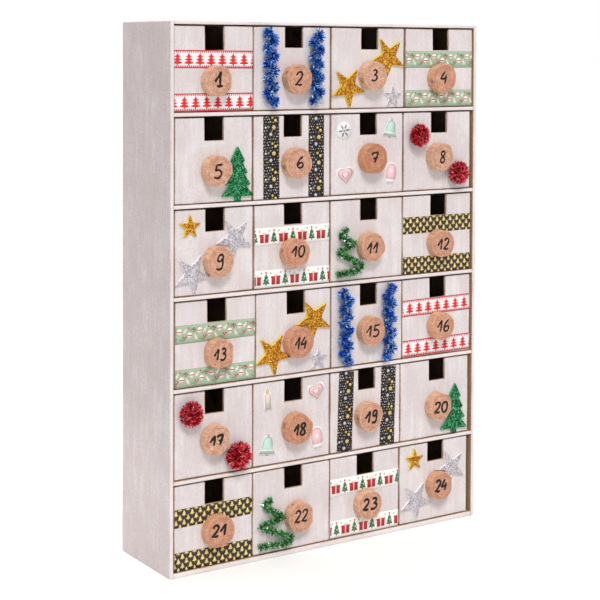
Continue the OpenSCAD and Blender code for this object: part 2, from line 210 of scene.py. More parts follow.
def whitewashed_board(node):
    # Papier-mache board under one thin coat of white paint, put on with a stiff brush: a chalky, faintly
    # pink white with soft bristle streaks, whiter along the front edges, partly from thicker paint and partly
    # as a painted highlight. Raw brown board, greyer inside the drawers, shows where no brush went and where
    # edges were rubbed.
    along, across, tone, inside, wear, streaky, brow = (
        node("Attribute", out="Fac", attribute_name=name)
        for name in ("along", "across", "tone", "inside", "wear", "streaky", "brow"))
    brush = node("CombineXYZ", {0: across, 1: along, 2: tone})
    # Bristle marks 1.5 mm wide and 18 mm long, brush strokes 6 mm wide, clouds of thinner paint 20 mm wide
    # and paper fibres 0.9 mm wide, each shifted from board to board by its tone
    bristle, stroke, cloud, fibre = (
        node("TexNoise", {"Vector": node("VectorMath", {0: brush, 1: scale}, operation="MULTIPLY"),
                          "Scale": 1.0, "Detail": detail, "Roughness": rough})
        for scale, detail, rough in (((1 / 1.5, 1 / 18, 40), 5.0, 0.68), ((1 / 6, 1 / 90, 17), 2.0, 0.5),
                                     ((1 / 20, 1 / 28, 23), 3.0, 0.5), ((1 / 0.9, 1 / 2, 60), 3.0, 0.65)))
    streak, sweep, patch, speck = (
        node("MapRange", {0: noise, 1: low, 2: high})
        for noise, low, high in ((bristle, 0.36, 0.68), (stroke, 0.35, 0.68), (cloud, 0.36, 0.66),
                                 (fibre, 0.42, 0.7)))
    # The front-edge share whitens the paint there: partly thicker paint, partly a painted highlight
    lines, flecks, thick_paint_and_highlight = (
        node("Math", {0: mark, 1: share}, operation="MULTIPLY")
        for mark, share in ((streak, streaky), (speck, streaky), (brow, 0.25)))
    paint = "#E3DEDE"
    for share, colour in ((sweep, "#D7D0CF"), (patch, "#D4CCCC"), (lines, "#C4B1B1"), (flecks, "#B79D9C"),
                          (thick_paint_and_highlight, "#EBE1DF")):
        paint = node("Mix", {0: share, 6: paint, 7: colour}, **BLEND)
    brown = node("Mix", {0: speck, 6: "#C09C7A", 7: "#8E6C50"}, **BLEND)
    mottled = node("Math", {0: speck, 1: patch}, operation="MAXIMUM")
    grey = node("Mix", {0: mottled, 6: "#B5A392", 7: "#8A7A6C"}, **BLEND)
    deep = node("MapRange", {0: inside, 1: 3.0, 2: 8.0})
    raw = node("Mix", {0: deep, 6: brown, 7: grey}, **BLEND)
    ragged = node("Math", {0: fibre, 1: 3.0, 2: -1.5}, operation="MULTIPLY_ADD")
    depth = node("Math", {0: inside, 1: ragged}, operation="ADD")
    bare_inside = node("MapRange", {0: depth, 1: 0.3, 2: 2.0}, interpolation_type="SMOOTHSTEP")
    thin = node("Math", {0: cloud, 1: 0.9, 2: -0.45}, operation="MULTIPLY_ADD")
    rubbed = node("Math", {0: wear, 1: thin}, operation="ADD")
    bare_edge = node("MapRange", {0: rubbed, 1: 0.58, 2: 1.0, 4: 0.8}, interpolation_type="SMOOTHSTEP")
    bare = node("Math", {0: bare_inside, 1: bare_edge}, operation="MAXIMUM")
    colour = node("Mix", {0: bare, 6: paint, 7: raw}, **BLEND)
    height = node("Math", {0: bristle, 1: fibre}, operation="ADD")
    bump = node("Bump", {"Strength": 0.35, "Distance": 0.2 * MM, "Height": height})
    rough = node("MapRange", {0: bristle, 1: 0.3, 2: 0.7, 3: 0.78, 4: 0.92})
    return node("BsdfPrincipled", {"Base Color": colour, "Roughness": rough, "Normal": bump,
                                   "IOR": 1.45, "Specular IOR Level": 0.3})


def peeled_branch(node):
    # Slice of a peeled softwood branch, sawn and sanded across the grain: warm pinkish tan, speckled with
    # darker pores, with soft yearly rings, the last one a clear line inside the edge. The side is paler,
    # pared smooth with a knife along the branch, and has a dark knot here and there.
    grain = node("Attribute", out="Vector", attribute_name="grain")
    end, share, knot, dark, warm = (node("Attribute", out="Fac", attribute_name=name)
                                    for name in ("end", "share", "knot", "dark", "warm"))
    # Rings 1.8 mm apart that wander by about a millimetre over 6 mm, knife marks 2 mm wide, and pores drawn
    # 1.5 mm wide, coarser than life, so that they show
    slow, close, knife = (
        node("VectorMath", {0: grain, 1: scale}, operation="MULTIPLY")
        for scale in ((1 / 6, 1 / 6, 1 / 6), (1 / 1.5, 1 / 1.5, 1 / 3), (1 / 2, 1 / 2, 1 / 14)))
    wander = node("TexNoise", {"Vector": slow, "Scale": 1.0, "Detail": 2.0}, out="Color")
    swerved = node("VectorMath", {0: wander, 1: (2.2, 2.2, 0.0), 2: grain}, operation="MULTIPLY_ADD")
    flat = node("VectorMath", {0: swerved, 1: (1.0, 1.0, 0.0)}, operation="MULTIPLY")
    reach = node("VectorMath", {0: flat}, out="Value", operation="LENGTH")
    turns = node("Math", {0: reach, 1: 2 * math.pi / 1.8}, operation="MULTIPLY")
    wave = node("Math", {0: turns}, operation="SINE")
    ring = node("MapRange", {0: wave, 1: -0.2, 4: 0.5})
    pore = node("TexNoise", {"Vector": close, "Scale": 1.0, "Detail": 3.0, "Roughness": 0.7})
    pared = node("TexNoise", {"Vector": knife, "Scale": 1.0, "Detail": 3.0, "Roughness": 0.6})
    blotch = node("TexNoise", {"Vector": slow, "Scale": 1.4, "Detail": 2.0})
    uneven = node("MapRange", {0: blotch, 1: 0.34, 2: 0.66})
    outermost = node("Math", {0: share, 1: 0.84, 2: 0.05}, operation="COMPARE")
    last = node("Math", {0: outermost, 1: 0.3}, operation="MULTIPLY")
    holes = node("MapRange", {0: pore, 1: 0.46, 2: 0.68, 4: 0.7})
    face = "#E0B9A2"
    for part, colour in ((uneven, "#C59880"), (ring, "#B98870"), (last, "#A87458"), (holes, "#93604A")):
        face = node("Mix", {0: part, 6: face, 7: colour}, **BLEND)
    cuts = node("MapRange", {0: pared, 1: 0.36, 2: 0.7})
    side = node("Mix", {0: cuts, 6: "#E8C2A4", 7: "#CFA283"}, **BLEND)
    knotted = node("Mix", {0: knot, 6: side, 7: "#70432C"}, **BLEND)
    wood = node("Mix", {0: end, 6: knotted, 7: face}, **BLEND)
    for part, most, colour in ((warm, 0.55, "#EEB27E"), (dark, 0.5, "#D9BFA8")):
        stain = node("Math", {0: part, 1: most}, operation="MULTIPLY")
        wood = node("Mix", {0: stain, 6: wood, 7: colour}, blend_type="MULTIPLY", **BLEND)
    height = node("Math", {0: pore, 1: pared}, operation="ADD")
    bump = node("Bump", {"Strength": 0.4, "Distance": 0.3 * MM, "Height": height})
    return node("BsdfPrincipled", {"Base Color": wood, "Roughness": 0.62, "Normal": bump,
                                   "IOR": 1.5, "Specular IOR Level": 0.4})


def marker_ink(node):
    # Black felt-pen ink on bare wood: near black with browner, thinner places where the pen ran dry.
    place = node("TexCoord", out="Object")
    spot = node("TexNoise", {"Vector": place, "Scale": 1 / (0.9 * MM), "Detail": 2.0})
    dry = node("MapRange", {0: spot, 1: 0.5, 2: 0.75})
    colour = node("Mix", {0: dry, 6: "#0F0B0A", 7: "#2B1F1B"}, **BLEND)
    return node("BsdfPrincipled", {"Base Color": colour, "Roughness": 0.5, "Specular IOR Level": 0.3})


def printed_paper(node):
    # Thin printed paper, as rolled for craft tape and cut for stickers: the ink's colour lies flat, and the
    # long paper fibres and the board under them leave it slightly uneven.
    ink = node("Attribute", out="Color", attribute_name="ink")
    place = node("TexCoord", out="Object")
    # Paper fibres drawn 0.5 mm wide, coarser than life, so that they show
    fibre = node("TexNoise", {"Vector": place, "Scale": 1 / (0.5 * MM), "Detail": 3.0, "Roughness": 0.7})
    cloud = node("TexNoise", {"Vector": place, "Scale": 1 / (7 * MM), "Detail": 2.0})
    worn = node("MapRange", {0: fibre, 1: 0.35, 2: 0.7, 3: 0.92, 4: 1.04})
    even = node("MapRange", {0: cloud, 1: 0.35, 2: 0.7, 3: 0.95, 4: 1.03})
    level = node("Math", {0: worn, 1: even}, operation="MULTIPLY")
    colour = node("VectorMath", {0: ink, "Scale": level}, operation="SCALE")
    bump = node("Bump", {"Strength": 0.2, "Distance": 0.1 * MM, "Height": fibre})
    return node("BsdfPrincipled", {"Base Color": colour, "Roughness": 0.6, "Normal": bump,
                                   "IOR": 1.45, "Specular IOR Level": 0.35})


def glitter_foam(deep, mid, painted_glint_fleck, foam):
    """Surface function for a glitter-foam shape: three glitter colours on its face, from painted shade to a
    painted glint, bare foam at its rim.
    """
    def surface(node):
        # Craft foam with glitter flakes glued on its face: grains that each catch the light their own way,
        # partly through tilted facets and partly painted into their colour, from painted shade to a painted
        # glint, over a vivid rim of smooth foam.
        face = node("Attribute", out="Fac", attribute_name="face")
        place = node("TexCoord", out="Object")
        # Flakes drawn 0.7 and 1.2 mm wide, coarser than life, so that they show
        small, large = (node("TexVoronoi", {"Vector": place, "Scale": 1 / (width * MM)}, out="Color")
                        for width in (0.7, 1.2))
        pick, glint, clump = (node("SeparateColor", {0: cell}, out=channel)
                              for cell, channel in ((small, 0), (small, 1), (large, 2)))
        # Painted glints and shade: each flake's colour runs at random from deep through mid to the pale fleck
        # colour
        mixed = node("Math", {0: pick, 1: clump}, operation="ADD")
        lower = node("MapRange", {0: mixed, 1: 0.35, 2: 1.1})
        upper = node("MapRange", {0: mixed, 1: 1.1, 2: 1.75})
        base = node("Mix", {0: lower, 6: deep, 7: mid}, **BLEND)
        flakes = node("Mix", {0: upper, 6: base, 7: painted_glint_fleck}, **BLEND)
        pores = node("TexNoise", {"Vector": place, "Scale": 1 / (0.6 * MM), "Detail": 2.0})
        dimpled = node("MapRange", {0: pores, 1: 0.3, 2: 0.7, 3: 0.88, 4: 1.05})
        rim = node("VectorMath", {0: linear(foam)[:3], "Scale": dimpled}, operation="SCALE")
        colour = node("Mix", {0: face, 6: rim, 7: flakes}, **BLEND)
        tilt = node("VectorMath", {0: small, 1: (0.5, 0.5, 0.5)}, operation="SUBTRACT")
        loose = node("Math", {0: face, 1: 0.9}, operation="MULTIPLY")
        tipped = node("VectorMath", {0: tilt, "Scale": loose}, operation="SCALE")
        normal = node("NewGeometry", out="Normal")
        leaning = node("VectorMath", {0: normal, 1: tipped}, operation="ADD")
        facet = node("VectorMath", {0: leaning}, operation="NORMALIZE")
        shine = node("Math", {0: face, 1: 0.55}, operation="MULTIPLY")
        polish = node("MapRange", {0: glint, 3: 0.25, 4: 0.55})
        rough = node("Mix", {0: face, 2: 0.75, 3: polish})
        return node("BsdfPrincipled", {"Base Color": colour, "Metallic": shine, "Roughness": rough,
                                       "Normal": facet, "Specular IOR Level": 0.25})
    return surface


def foil_strands(deep, mid, painted_glint):
    """Surface function for cut foil: a strand's colour lies between three by its tone, a painted shade or
    glint, darker at its root as painted shade.
    """
    def surface(node):
        # Tinsel foil, slit into narrow strips and twisted into wire: mirror-shiny plastic film whose strips
        # turn every way, so neighbours run from nearly black to a pale glint. That spread is painted into the
        # colour by each strand's tone, as painted shade and painted glints, and each strip is painted darker
        # towards its root as shade in the pile.
        tone, tip = (node("Attribute", out="Fac", attribute_name=name) for name in ("tone", "tip"))
        place = node("TexCoord", out="Object")
        # Creases 0.8 mm apart, which shift each strip's painted shade and glint
        crease = node("TexNoise", {"Vector": place, "Scale": 1 / (0.8 * MM), "Detail": 1.0})
        level = node("Math", {0: crease, 1: 0.3, 2: tone}, operation="MULTIPLY_ADD")
        lower = node("MapRange", {0: level, 1: 0.2, 2: 0.65})
        upper = node("MapRange", {0: level, 1: 0.72, 2: 1.02})
        base = node("Mix", {0: lower, 6: deep, 7: mid}, **BLEND)
        film = node("Mix", {0: upper, 6: base, 7: painted_glint}, **BLEND)
        # Painted shade: each strip darkens to 0.3 at its root, inside the pile
        lit = node("MapRange", {0: tip, 3: 0.3})
        colour = node("VectorMath", {0: film, "Scale": lit}, operation="SCALE")
        return node("BsdfPrincipled", {"Base Color": colour, "Metallic": 0.55, "Roughness": 0.32,
                                       "Specular IOR Level": 0.1})
    return surface


def studio_paper(node):
    # Matt white background paper, coated smooth: nearly even white with the faintest cloudiness.
    place = node("TexCoord", out="Object")
    cloud = node("TexNoise", {"Vector": place, "Scale": 3.0, "Detail": 2.0})
    colour = node("Mix", {0: cloud, 6: "#FBFBFA", 7: "#F8F8F7"}, **BLEND)
    return node("BsdfPrincipled", {"Base Color": colour, "Roughness": 0.9, "Specular IOR Level": 0.1})


BOARD = finish("whitewashed_board", whitewashed_board)
WOOD = finish("peeled_branch", peeled_branch)
INK = finish("marker_ink", marker_ink)
TAPE = finish("printed_craft_tape", printed_paper)
STICKER = finish("printed_sticker_paper", printed_paper)
# Glitter colours: deep and mid, a pale fleck that is a painted glint, then the bare foam
FOAM = {"gold": finish("gold_glitter_foam", glitter_foam("#84480A", "#C27A10", "#FFD95C", "#F6D630")),
        "silver": finish("silver_glitter_foam", glitter_foam("#A29BA1", "#C2BBC2", "#F4F2F6", "#F8F7F9")),
        "green": finish("green_glitter_foam", glitter_foam("#063A1A", "#126634", "#66CC94", "#3CAA6C"))}
# Foil colours: a deep one for painted shade, the foil's own, and a pale painted glint
BLUE_FOIL = finish("blue_tinsel_foil", foil_strands("#0C3EB6", "#2288FF", "#C8F0FF"))
RED_FOIL = finish("red_tinsel_foil", foil_strands("#7A0818", "#F41E30", "#FF9098"))
GREEN_FOIL = finish("green_chenille_foil", foil_strands("#0A4A1C", "#3CC455", "#E8FFDC"))

Shell = namedtuple("Shell", "points faces finish marks")
Front = namedtuple("Front", "number body middle face foot width depth height")


def unit(arrows):
    """Arrows brought to length one."""
    return arrows / np.linalg.norm(arrows, axis=-1, keepdims=True)


def polar(reach, angle):
    """Points at a reach and an angle from the middle."""
    return np.stack([reach * np.cos(angle), reach * np.sin(angle)], axis=-1)


def turned(x, y, degrees):
    """Places turned anticlockwise about the middle of their plane."""
    angle = np.radians(degrees)
    return x * np.cos(angle) - y * np.sin(angle), x * np.sin(angle) + y * np.cos(angle)


def walked(line):
    """How far along a line each of its points lies."""
    return np.concatenate([[0], np.cumsum(np.linalg.norm(np.diff(line, axis=0), axis=1))])


def softened(outline, passes):
    """A closed outline with eased corners: each point moves to the average of itself and its neighbours."""
    for _ in range(passes):
        outline = 0.5 * outline + 0.25 * (np.roll(outline, 1, axis=0) + np.roll(outline, -1, axis=0))
    return outline


def outward(points, faces):
    """The faces turned to point outwards: the skin's signed volume is summed over fans of its faces."""
    volume = 0.0
    for group in faces:
        corner = points[group]
        for k in range(1, group.shape[1] - 1):
            volume += np.einsum("ij,ij->", corner[:, 0], np.cross(corner[:, k], corner[:, k + 1]))
    return faces if volume > 0 else [group[:, ::-1] for group in faces]


def shell(rings, paint, **marks):
    """Closed skin over a grid of rings: quads between neighbouring rings, a fan to each end ring's middle."""
    count, around = rings.shape[:2]
    index = np.arange(count * around).reshape(count, around)
    beside = np.roll(index, -1, axis=1)
    sides = np.stack([index[:-1], beside[:-1], beside[1:], index[1:]], axis=-1).reshape(-1, 4)
    first, last = np.full(around, count * around), np.full(around, count * around + 1)
    caps = np.concatenate([np.stack([first, beside[0], index[0]], axis=-1),
                           np.stack([last, index[-1], beside[-1]], axis=-1)])

    def with_ends(grid):
        rows = grid.reshape(count * around, -1)
        return np.concatenate([rows, [rows[:around].mean(axis=0), rows[-around:].mean(axis=0)]])

    points = with_ends(rings)
    filled = {}
    for name, value in marks.items():
        wanted = (count, around, 3) if name in ("grain", "ink") else (count, around)
        grid = with_ends(np.broadcast_to(np.asarray(value, float), wanted))
        filled[name] = grid if len(wanted) == 3 else grid[:, 0]
    return Shell(points, outward(points, [sides, caps]), paint, filled)


def moved(piece, points):
    """The same shell with its points elsewhere, and its faces turned outwards again."""
    return piece._replace(points=points, faces=outward(points, piece.faces))


def copies(piece, at, scale=1.0, turn=0.0):
    """Many copies of a small shell, each scaled, turned in its own plane and moved to its own place."""
    at = np.atleast_2d(np.asarray(at, float))
    scale, turn = (np.broadcast_to(np.asarray(value, float), len(at))[:, None] for value in (scale, turn))
    x, y, z = np.moveaxis(piece.points, -1, 0)
    x, y = turned(x, y, turn)
    points = np.stack([at[:, :1] + scale * x, at[:, 1:2] + scale * y, np.broadcast_to(z, x.shape)], axis=-1)
    start = (np.arange(len(at)) * len(z))[:, None, None]
    faces = [(group + start).reshape(-1, group.shape[1]) for group in piece.faces]
    kept = {name: np.concatenate([value] * len(at)) for name, value in piece.marks.items()}
    return Shell(points.reshape(-1, 3), faces, piece.finish, kept)


def make(name, body, shells, nodes=(), smooth=True):
    """Joins shells into one mesh in metres, with its finishes and marks, and lets it ride on its body."""
    paints = list(dict.fromkeys(part.finish for part in shells))
    loops, sizes, which = [], [], []
    start = 0
    for part in shells:
        for group in part.faces:
            loops.append((group + start).ravel())
            sizes.append(np.full(len(group), group.shape[1]))
            which.append(np.full(len(group), paints.index(part.finish)))
        start += len(part.points)
    loops, sizes, which = (np.concatenate(parts) for parts in (loops, sizes, which))
    points = np.concatenate([part.points for part in shells]) * MM
    mesh = bpy.data.meshes.new(name)
    mesh.vertices.add(len(points))
    mesh.vertices.foreach_set("co", points.astype(np.float32).ravel())
    mesh.loops.add(len(loops))
    mesh.loops.foreach_set("vertex_index", loops.astype(np.int32))
    mesh.polygons.add(len(sizes))
    mesh.polygons.foreach_set("loop_start", (np.cumsum(sizes) - sizes).astype(np.int32))
    mesh.polygons.foreach_set("material_index", which.astype(np.int32))
    mesh.polygons.foreach_set("use_smooth", np.full(len(sizes), smooth))
    for mark in dict.fromkeys(key for part in shells for key in part.marks):
        vector = any(part.marks[mark].ndim == 2 for part in shells if mark in part.marks)
        blank = [np.zeros((len(part.points), 3) if vector else len(part.points)) for part in shells]
        values = np.concatenate([part.marks.get(mark, empty) for part, empty in zip(shells, blank)])
        layer = mesh.attributes.new(mark, "FLOAT_VECTOR" if vector else "FLOAT", "POINT")
        layer.data.foreach_set("vector" if vector else "value", values.astype(np.float32).ravel())
    for paint in paints:
        mesh.materials.append(paint)
    mesh.update(calc_edges=True)
    piece = bpy.data.objects.new(name, mesh)
    scene.collection.objects.link(piece)
    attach(piece, body)
    if nodes:
        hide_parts(*nodes)


def box_of(node):
    """Lowest and highest corner of a CAD node in millimetres."""
    return [np.array(corner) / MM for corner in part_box(node)]


def front_of(number):
    """Where a drawer's front is: its middle, face and foot, and the drawer's width, depth and height."""
    body = "drawer_%02d" % number
    lo, hi = box_of(body)
    return Front(number, body, (lo[0] + hi[0]) / 2, lo[1], lo[2], *(hi - lo))


def on_front(front, spots):
    """Spots right of a front's middle, up from its foot and out from its face, in the part's frame."""
    right, up, out = np.moveaxis(spots, -1, 0)
    return np.stack([front.middle + right, front.face - out, front.foot + up], axis=-1)


def knob_middle(number):
    """Middle of a drawer's knob on its front."""
    return np.array([0, KNOB_UP]) + KNOB_SHIFT[number - 1]


def clear_of_knob(number, spots, gap=0.4):
    """Spots within the knob's circle are pushed straight out from its middle to just past its edge."""
    away = spots[..., :2] - knob_middle(number)
    reach = np.linalg.norm(away, axis=-1, keepdims=True)
    push = np.maximum(1.0, (KNOB_R[number - 1] + gap) / np.maximum(reach, 0.01))
    return np.concatenate([knob_middle(number) + away * push, spots[..., 2:]], axis=-1)


def smooth_line(corners, steps):
    """Curve through given points: between each pair a cubic whose slopes follow the neighbours."""
    p = np.asarray(corners, float)
    p = np.concatenate([[2 * p[0] - p[1]], p, [2 * p[-1] - p[-2]]])
    t = np.linspace(0, 1, steps, endpoint=False)[:, None]
    a, b, c, d = (p[i:len(p) - 3 + i, None] for i in range(4))
    curve = b + 0.5 * t * (c - a + t * (2 * a - 5 * b + 4 * c - d + t * (3 * (b - c) + d - a)))
    return np.concatenate([curve.reshape(-1, p.shape[1]), p[-2:-1]])


def side_stations(length):
    """Shares along a straight side: one near each end and the rest about a step apart, or just its middle."""
    margin = 1.2
    if length < 4 * margin:
        return np.array([0.5])
    return np.linspace(margin, length - margin, max(2, round(length / BOARD_STEP))) / length


def rounded_outline(half_a, half_b):
    """Rectangle with quarter-round corners, as core points and outward directions.

    The outline is each core point plus the edge radius times its direction.
    """
    corner = np.array([half_a, half_b]) - EDGE_R
    signs = np.array([[1, 1], [-1, 1], [-1, -1], [1, -1]])
    core, away = [], []
    for quarter in range(4):
        start, end = corner * signs[quarter], corner * signs[(quarter + 1) % 4]
        arc = polar(1, np.radians(90 * quarter + np.linspace(0, 90, 4)))
        share = side_stations(np.abs(end - start).sum())[:, None]
        core += [np.tile(start, (4, 1)), start + share * (end - start)]
        away += [arc, np.tile(arc[-1], (len(share), 1))]
    return np.concatenate(core), np.concatenate(away)


CASE_FRONT = box_of("left_side")[0][1]


def board(lo, hi, brush, raw, tone, streaky=0.35):
    """One board: a rounded rectangle carried along its longest side and drawn in along a quarter circle at
    both ends. The brush ran along one axis; raw faces are given as axis and side, and bare board starts
    behind the front edge.
    """
    size, middle = hi - lo, (lo + hi) / 2
    run = int(np.argmax(size))
    a, b = (axis for axis in range(3) if axis != run)
    core, away = rounded_outline(size[a] / 2, size[b] / 2)
    bend = np.radians([15, 40, 65, 90])
    drawn_in, out = EDGE_R * (1 - np.cos(bend)), EDGE_R * np.sin(bend)
    inner = size[run] - 2 * EDGE_R
    straight = EDGE_R + inner * side_stations(inner)
    place = np.concatenate([drawn_in, straight, size[run] - drawn_in[::-1]])[:, None]
    reach = np.concatenate([out, np.full(len(straight), EDGE_R), out[::-1]])[:, None]
    rings = np.zeros((len(place), len(core), 3))
    rings[..., run] = lo[run] + place
    facing = np.zeros((len(core), 3))
    for column, axis in enumerate((a, b)):
        rings[..., axis] = middle[axis] + core[:, column] + reach * away[:, column]
        facing[:, axis] = away[:, column]
    near = np.sort(np.minimum(rings - lo, hi - rings), axis=-1)[..., 1]
    behind = rings[..., 1] - CASE_FRONT
    inside = np.zeros(rings.shape[:2])
    for axis, sign in raw:
        inside = np.where(facing[:, axis] * sign > 0.6, np.maximum(inside, 3 * behind), inside)
    # Front edges get whiter, less streaky paint: partly thicker paint, partly a painted highlight
    brow = np.clip(1.6 - behind / 0.6, 0, 1)
    along = rings[..., brush]
    return shell(rings, BOARD, along=along, across=rings.sum(axis=-1) - along, tone=tone, brow=brow,
                 inside=np.minimum(inside, 3), streaky=streaky * (1 - 0.7 * brow),
                 wear=np.clip(1 - near / 1.2, 0, 1))


def drawer_box(front):
    """Open-topped box: a wall profile, from the underside over the outer wall, rim and inner wall to the
    floor, carried round the box's footprint. The rim's height drops to the notch within half a millimetre of
    its sides.
    """
    notch, deep = NOTCH_SHIFT[front.number - 1], NOTCH_DEPTH[front.number - 1]
    half = front.width / 2
    low, high = np.array([-half, 0]), np.array([half, front.depth])
    # The footprint's stations along the front, with the notch, along the sides and along the back
    beside = np.array([2.0, 0.5, 0.2, 0.05, 0.0, -0.1, -0.4])
    dropped = deep * np.array([0, 0, 0.007, 0.02, 0.98, 0.993, 1])
    outer_x = half - np.array([2.4, 8, 14, 20])
    front_x = np.concatenate([-outer_x, notch - NOTCH_W / 2 - beside, notch + np.array([-4.0, 0, 4]),
                              notch + NOTCH_W / 2 + beside[::-1], outer_x[::-1]])
    front_drop = np.concatenate([np.zeros(4), dropped, np.full(3, deep), dropped[::-1], np.zeros(4)])
    side_y = np.array([3.4, 5, 8, 14, 24, 36, 48, 60, 72]) * front.depth / 80
    back_x = np.linspace(half - 4, 4 - half, 8)
    runs = [np.stack(np.broadcast_arrays(x, y), axis=-1) for x, y in (
        (front_x, 0.0), (half, side_y), (back_x, front.depth), (-half, side_y[::-1]))]
    corners = np.array([[half, 0], [half, front.depth], [-half, front.depth], [-half, 0]])
    spots, angles, drops = [], [], []
    for quarter, (run, corner) in enumerate(zip(runs, corners)):
        turn = 90.0 * quarter - 90
        spots += [run, np.tile(corner, (4, 1))]
        angles += [np.full(len(run), turn), turn + np.linspace(0, 90, 4)]
        drops += [front_drop if quarter == 0 else np.zeros(len(run)), np.zeros(4)]
    spots, angles, drops = (np.concatenate(parts) for parts in (spots, angles, drops))
    top = front.height - drops
    away = polar(1, np.radians(angles))
    outer = np.clip(spots, low + OUTER_R, high - OUTER_R) + OUTER_R * away
    inner = np.clip(spots, low + (WALL_T, FRONT_T) + INNER_R, high - WALL_T - INNER_R) + INNER_R * away
    # The profile's rows: footprint and height
    knee = 48 * front.height / 70.15
    upper = [knee + share * (top - 0.5 - knee) for share in (0, 0.35, 0.7, 0.93, 1)]
    profile = [(outer - 0.6 * away, 0), (outer - 0.18 * away, 0.18), (outer, 0.6)]
    profile += [(outer, z) for z in (2, 8, 16, 24, 32, 40)] + [(outer, z) for z in upper]
    rim = len(profile)
    profile += [(outer + share * (inner - outer), top - under)
                for share, under in ((0.06, 0.15), (0.2, 0), (0.8, 0), (0.94, 0.15))]
    inmost = len(profile)
    profile += [(inner, z) for z in upper[::-1]] + [(inner, z) for z in (40, 24, 8, FLOOR_T + 0.5)]
    profile += [(inner - 0.25 * away, FLOOR_T)]
    local = np.stack([np.column_stack([place, np.broadcast_to(z, len(top))]) for place, z in profile])
    x, depth, z = np.moveaxis(local, -1, 0)
    # Bare board starts behind the front and on the rim, and is greyer within; edges and rim are rubbed
    inside = np.tile(np.minimum(outer[:, 1], 3), (len(local), 1))
    inside[0] += 6
    inside[rim:inmost] += 0.8 + (drops > 1)
    inside[inmost] += 2
    inside[inmost + 1:] += 8
    notch_side = np.abs(np.abs(x - notch) - NOTCH_W / 2) + 50 * (z < front.height - deep - 0.6)
    edge = np.minimum.reduce([half - np.abs(x), z, top - z, notch_side])
    wear = np.where(depth < 1, np.clip(1 - edge / 1.6, 0, 1), 0)
    wear[rim:] = 0.55
    wear[inmost:] = 0
    sway = 0.12 * np.sin(z / 9 + 2.1 * front.number), 0.1 * np.sin(x / 12 + 1.3 * front.number)
    rings = np.stack([front.middle + x + sway[0], front.face + depth, front.foot + z + sway[1]], axis=-1)
    tone = (front.number * 0.618) % 1
    return shell(rings, BOARD, along=z, across=x + depth, tone=tone, inside=inside, wear=wear, streaky=0.3)


def branch_knob(front):
    """Knob: an outline carried from its back over the side and the bevel to the middle of its face.

    The outline's radius is a circle with slow waves, cut by the knife's flats with a soft minimum, and the
    side has shallow hollows where |sin| of a multiple of the angle is large.
    """
    draw = np.random.default_rng(KNOB_SEED + front.number)
    round_r = KNOB_R[front.number - 1]
    around = np.linspace(0, 2 * np.pi, KNOB_POINTS, endpoint=False)
    phase = draw.uniform(0, 2 * np.pi, 5)
    reach = round_r * (0.994 + 0.009 * np.cos(2 * around + phase[0]) + 0.006 * np.cos(3 * around + phase[1])
                       + 0.003 * np.cos(7 * around + phase[2]))
    for angle, distance in KNOB_FLATS[front.number - 1]:
        flat = distance / np.maximum(np.cos(around - math.radians(angle)), 0.2)
        reach = -0.25 * np.log(np.exp(-reach / 0.25) + np.exp(-flat / 0.25))
    bevel = 0.45 + 0.15 * np.sin(around + phase[3]) + 0.08 * np.sin(4 * around + phase[4])
    still = np.zeros(KNOB_POINTS)
    side = [(0.5 + still, still)] + [(still, still + out) for out in (0.4, 1.8, 3.4, 5, 6.6)]
    side += [(still, KNOB_T - bevel), (0.3 * bevel, KNOB_T - 0.3 * bevel), (bevel, still + KNOB_T)]
    inset, out = (np.stack(column) for column in zip(*side))
    facets = int(draw.integers(7, 11))
    hollow = (0.28 * np.abs(np.sin(facets / 2 * around + phase[2] + 0.12 * out))
              * np.exp(-((out - 4.5) / 4) ** 2))
    knot = np.zeros(out.shape)
    if front.number in KNOTS:
        way, height = KNOTS[front.number]
        aside = round_r * ((around - math.radians(way) + np.pi) % (2 * np.pi) - np.pi)
        knot = np.exp(-(aside / 1.8) ** 2 - ((out - height) / 1.4) ** 2)
    radius = reach - inset - hollow - 0.7 * knot
    inward = np.array([[0.93], [0.72], [0.48], [0.22]])
    knot = np.concatenate([knot, np.zeros((4, KNOB_POINTS))])
    share = np.concatenate([np.ones((len(side), 1)), inward])
    radius = np.concatenate([radius, radius[-1] * inward])
    out = np.concatenate([out, np.full((4, KNOB_POINTS), KNOB_T)])
    spots = np.concatenate([polar(radius, around), out[..., None]], axis=-1)
    pith = np.append(draw.normal(0, 1.6, 2), 0)
    end = np.concatenate([np.zeros(7), [0.4], np.ones(5)])[:, None]
    dark, warm = KNOB_WOOD[front.number - 1]
    grain = spots - pith + np.array([0, 0, 40.0 * front.number])
    placed = on_front(front, spots + np.append(knob_middle(front.number), 0))
    return shell(placed, WOOD, grain=grain, end=end, share=share, knot=knot, dark=dark, warm=warm)


def ink_stroke(line, front):
    """One pen stroke: a flattened ring carried along the line, its half width rounded off at both ends."""
    step = unit(np.gradient(line, axis=0))
    normal = np.stack([-step[:, 1], step[:, 0]], axis=-1)
    gone = walked(line)
    half = (BOLD_W if front.number in BOLD else MARKER_W) / 2
    left = np.minimum(gone, gone[-1] - gone) / half
    width = half * np.sqrt(np.clip(1 - np.clip(1 - left, 0, 0.98) ** 2, 0, 1))
    width *= 1 + 0.12 * np.sin(gone * 0.9 + front.number)
    turn = np.radians(np.arange(8) * 45.0)
    flat = line[:, None] + normal[:, None] * (width[:, None] * np.cos(turn))[..., None]
    out = KNOB_T + 0.02 + INK_T * np.sin(turn)
    spots = np.concatenate([flat, np.broadcast_to(out[:, None], flat.shape[:2] + (1,))], axis=-1)
    return shell(on_front(front, spots), INK)


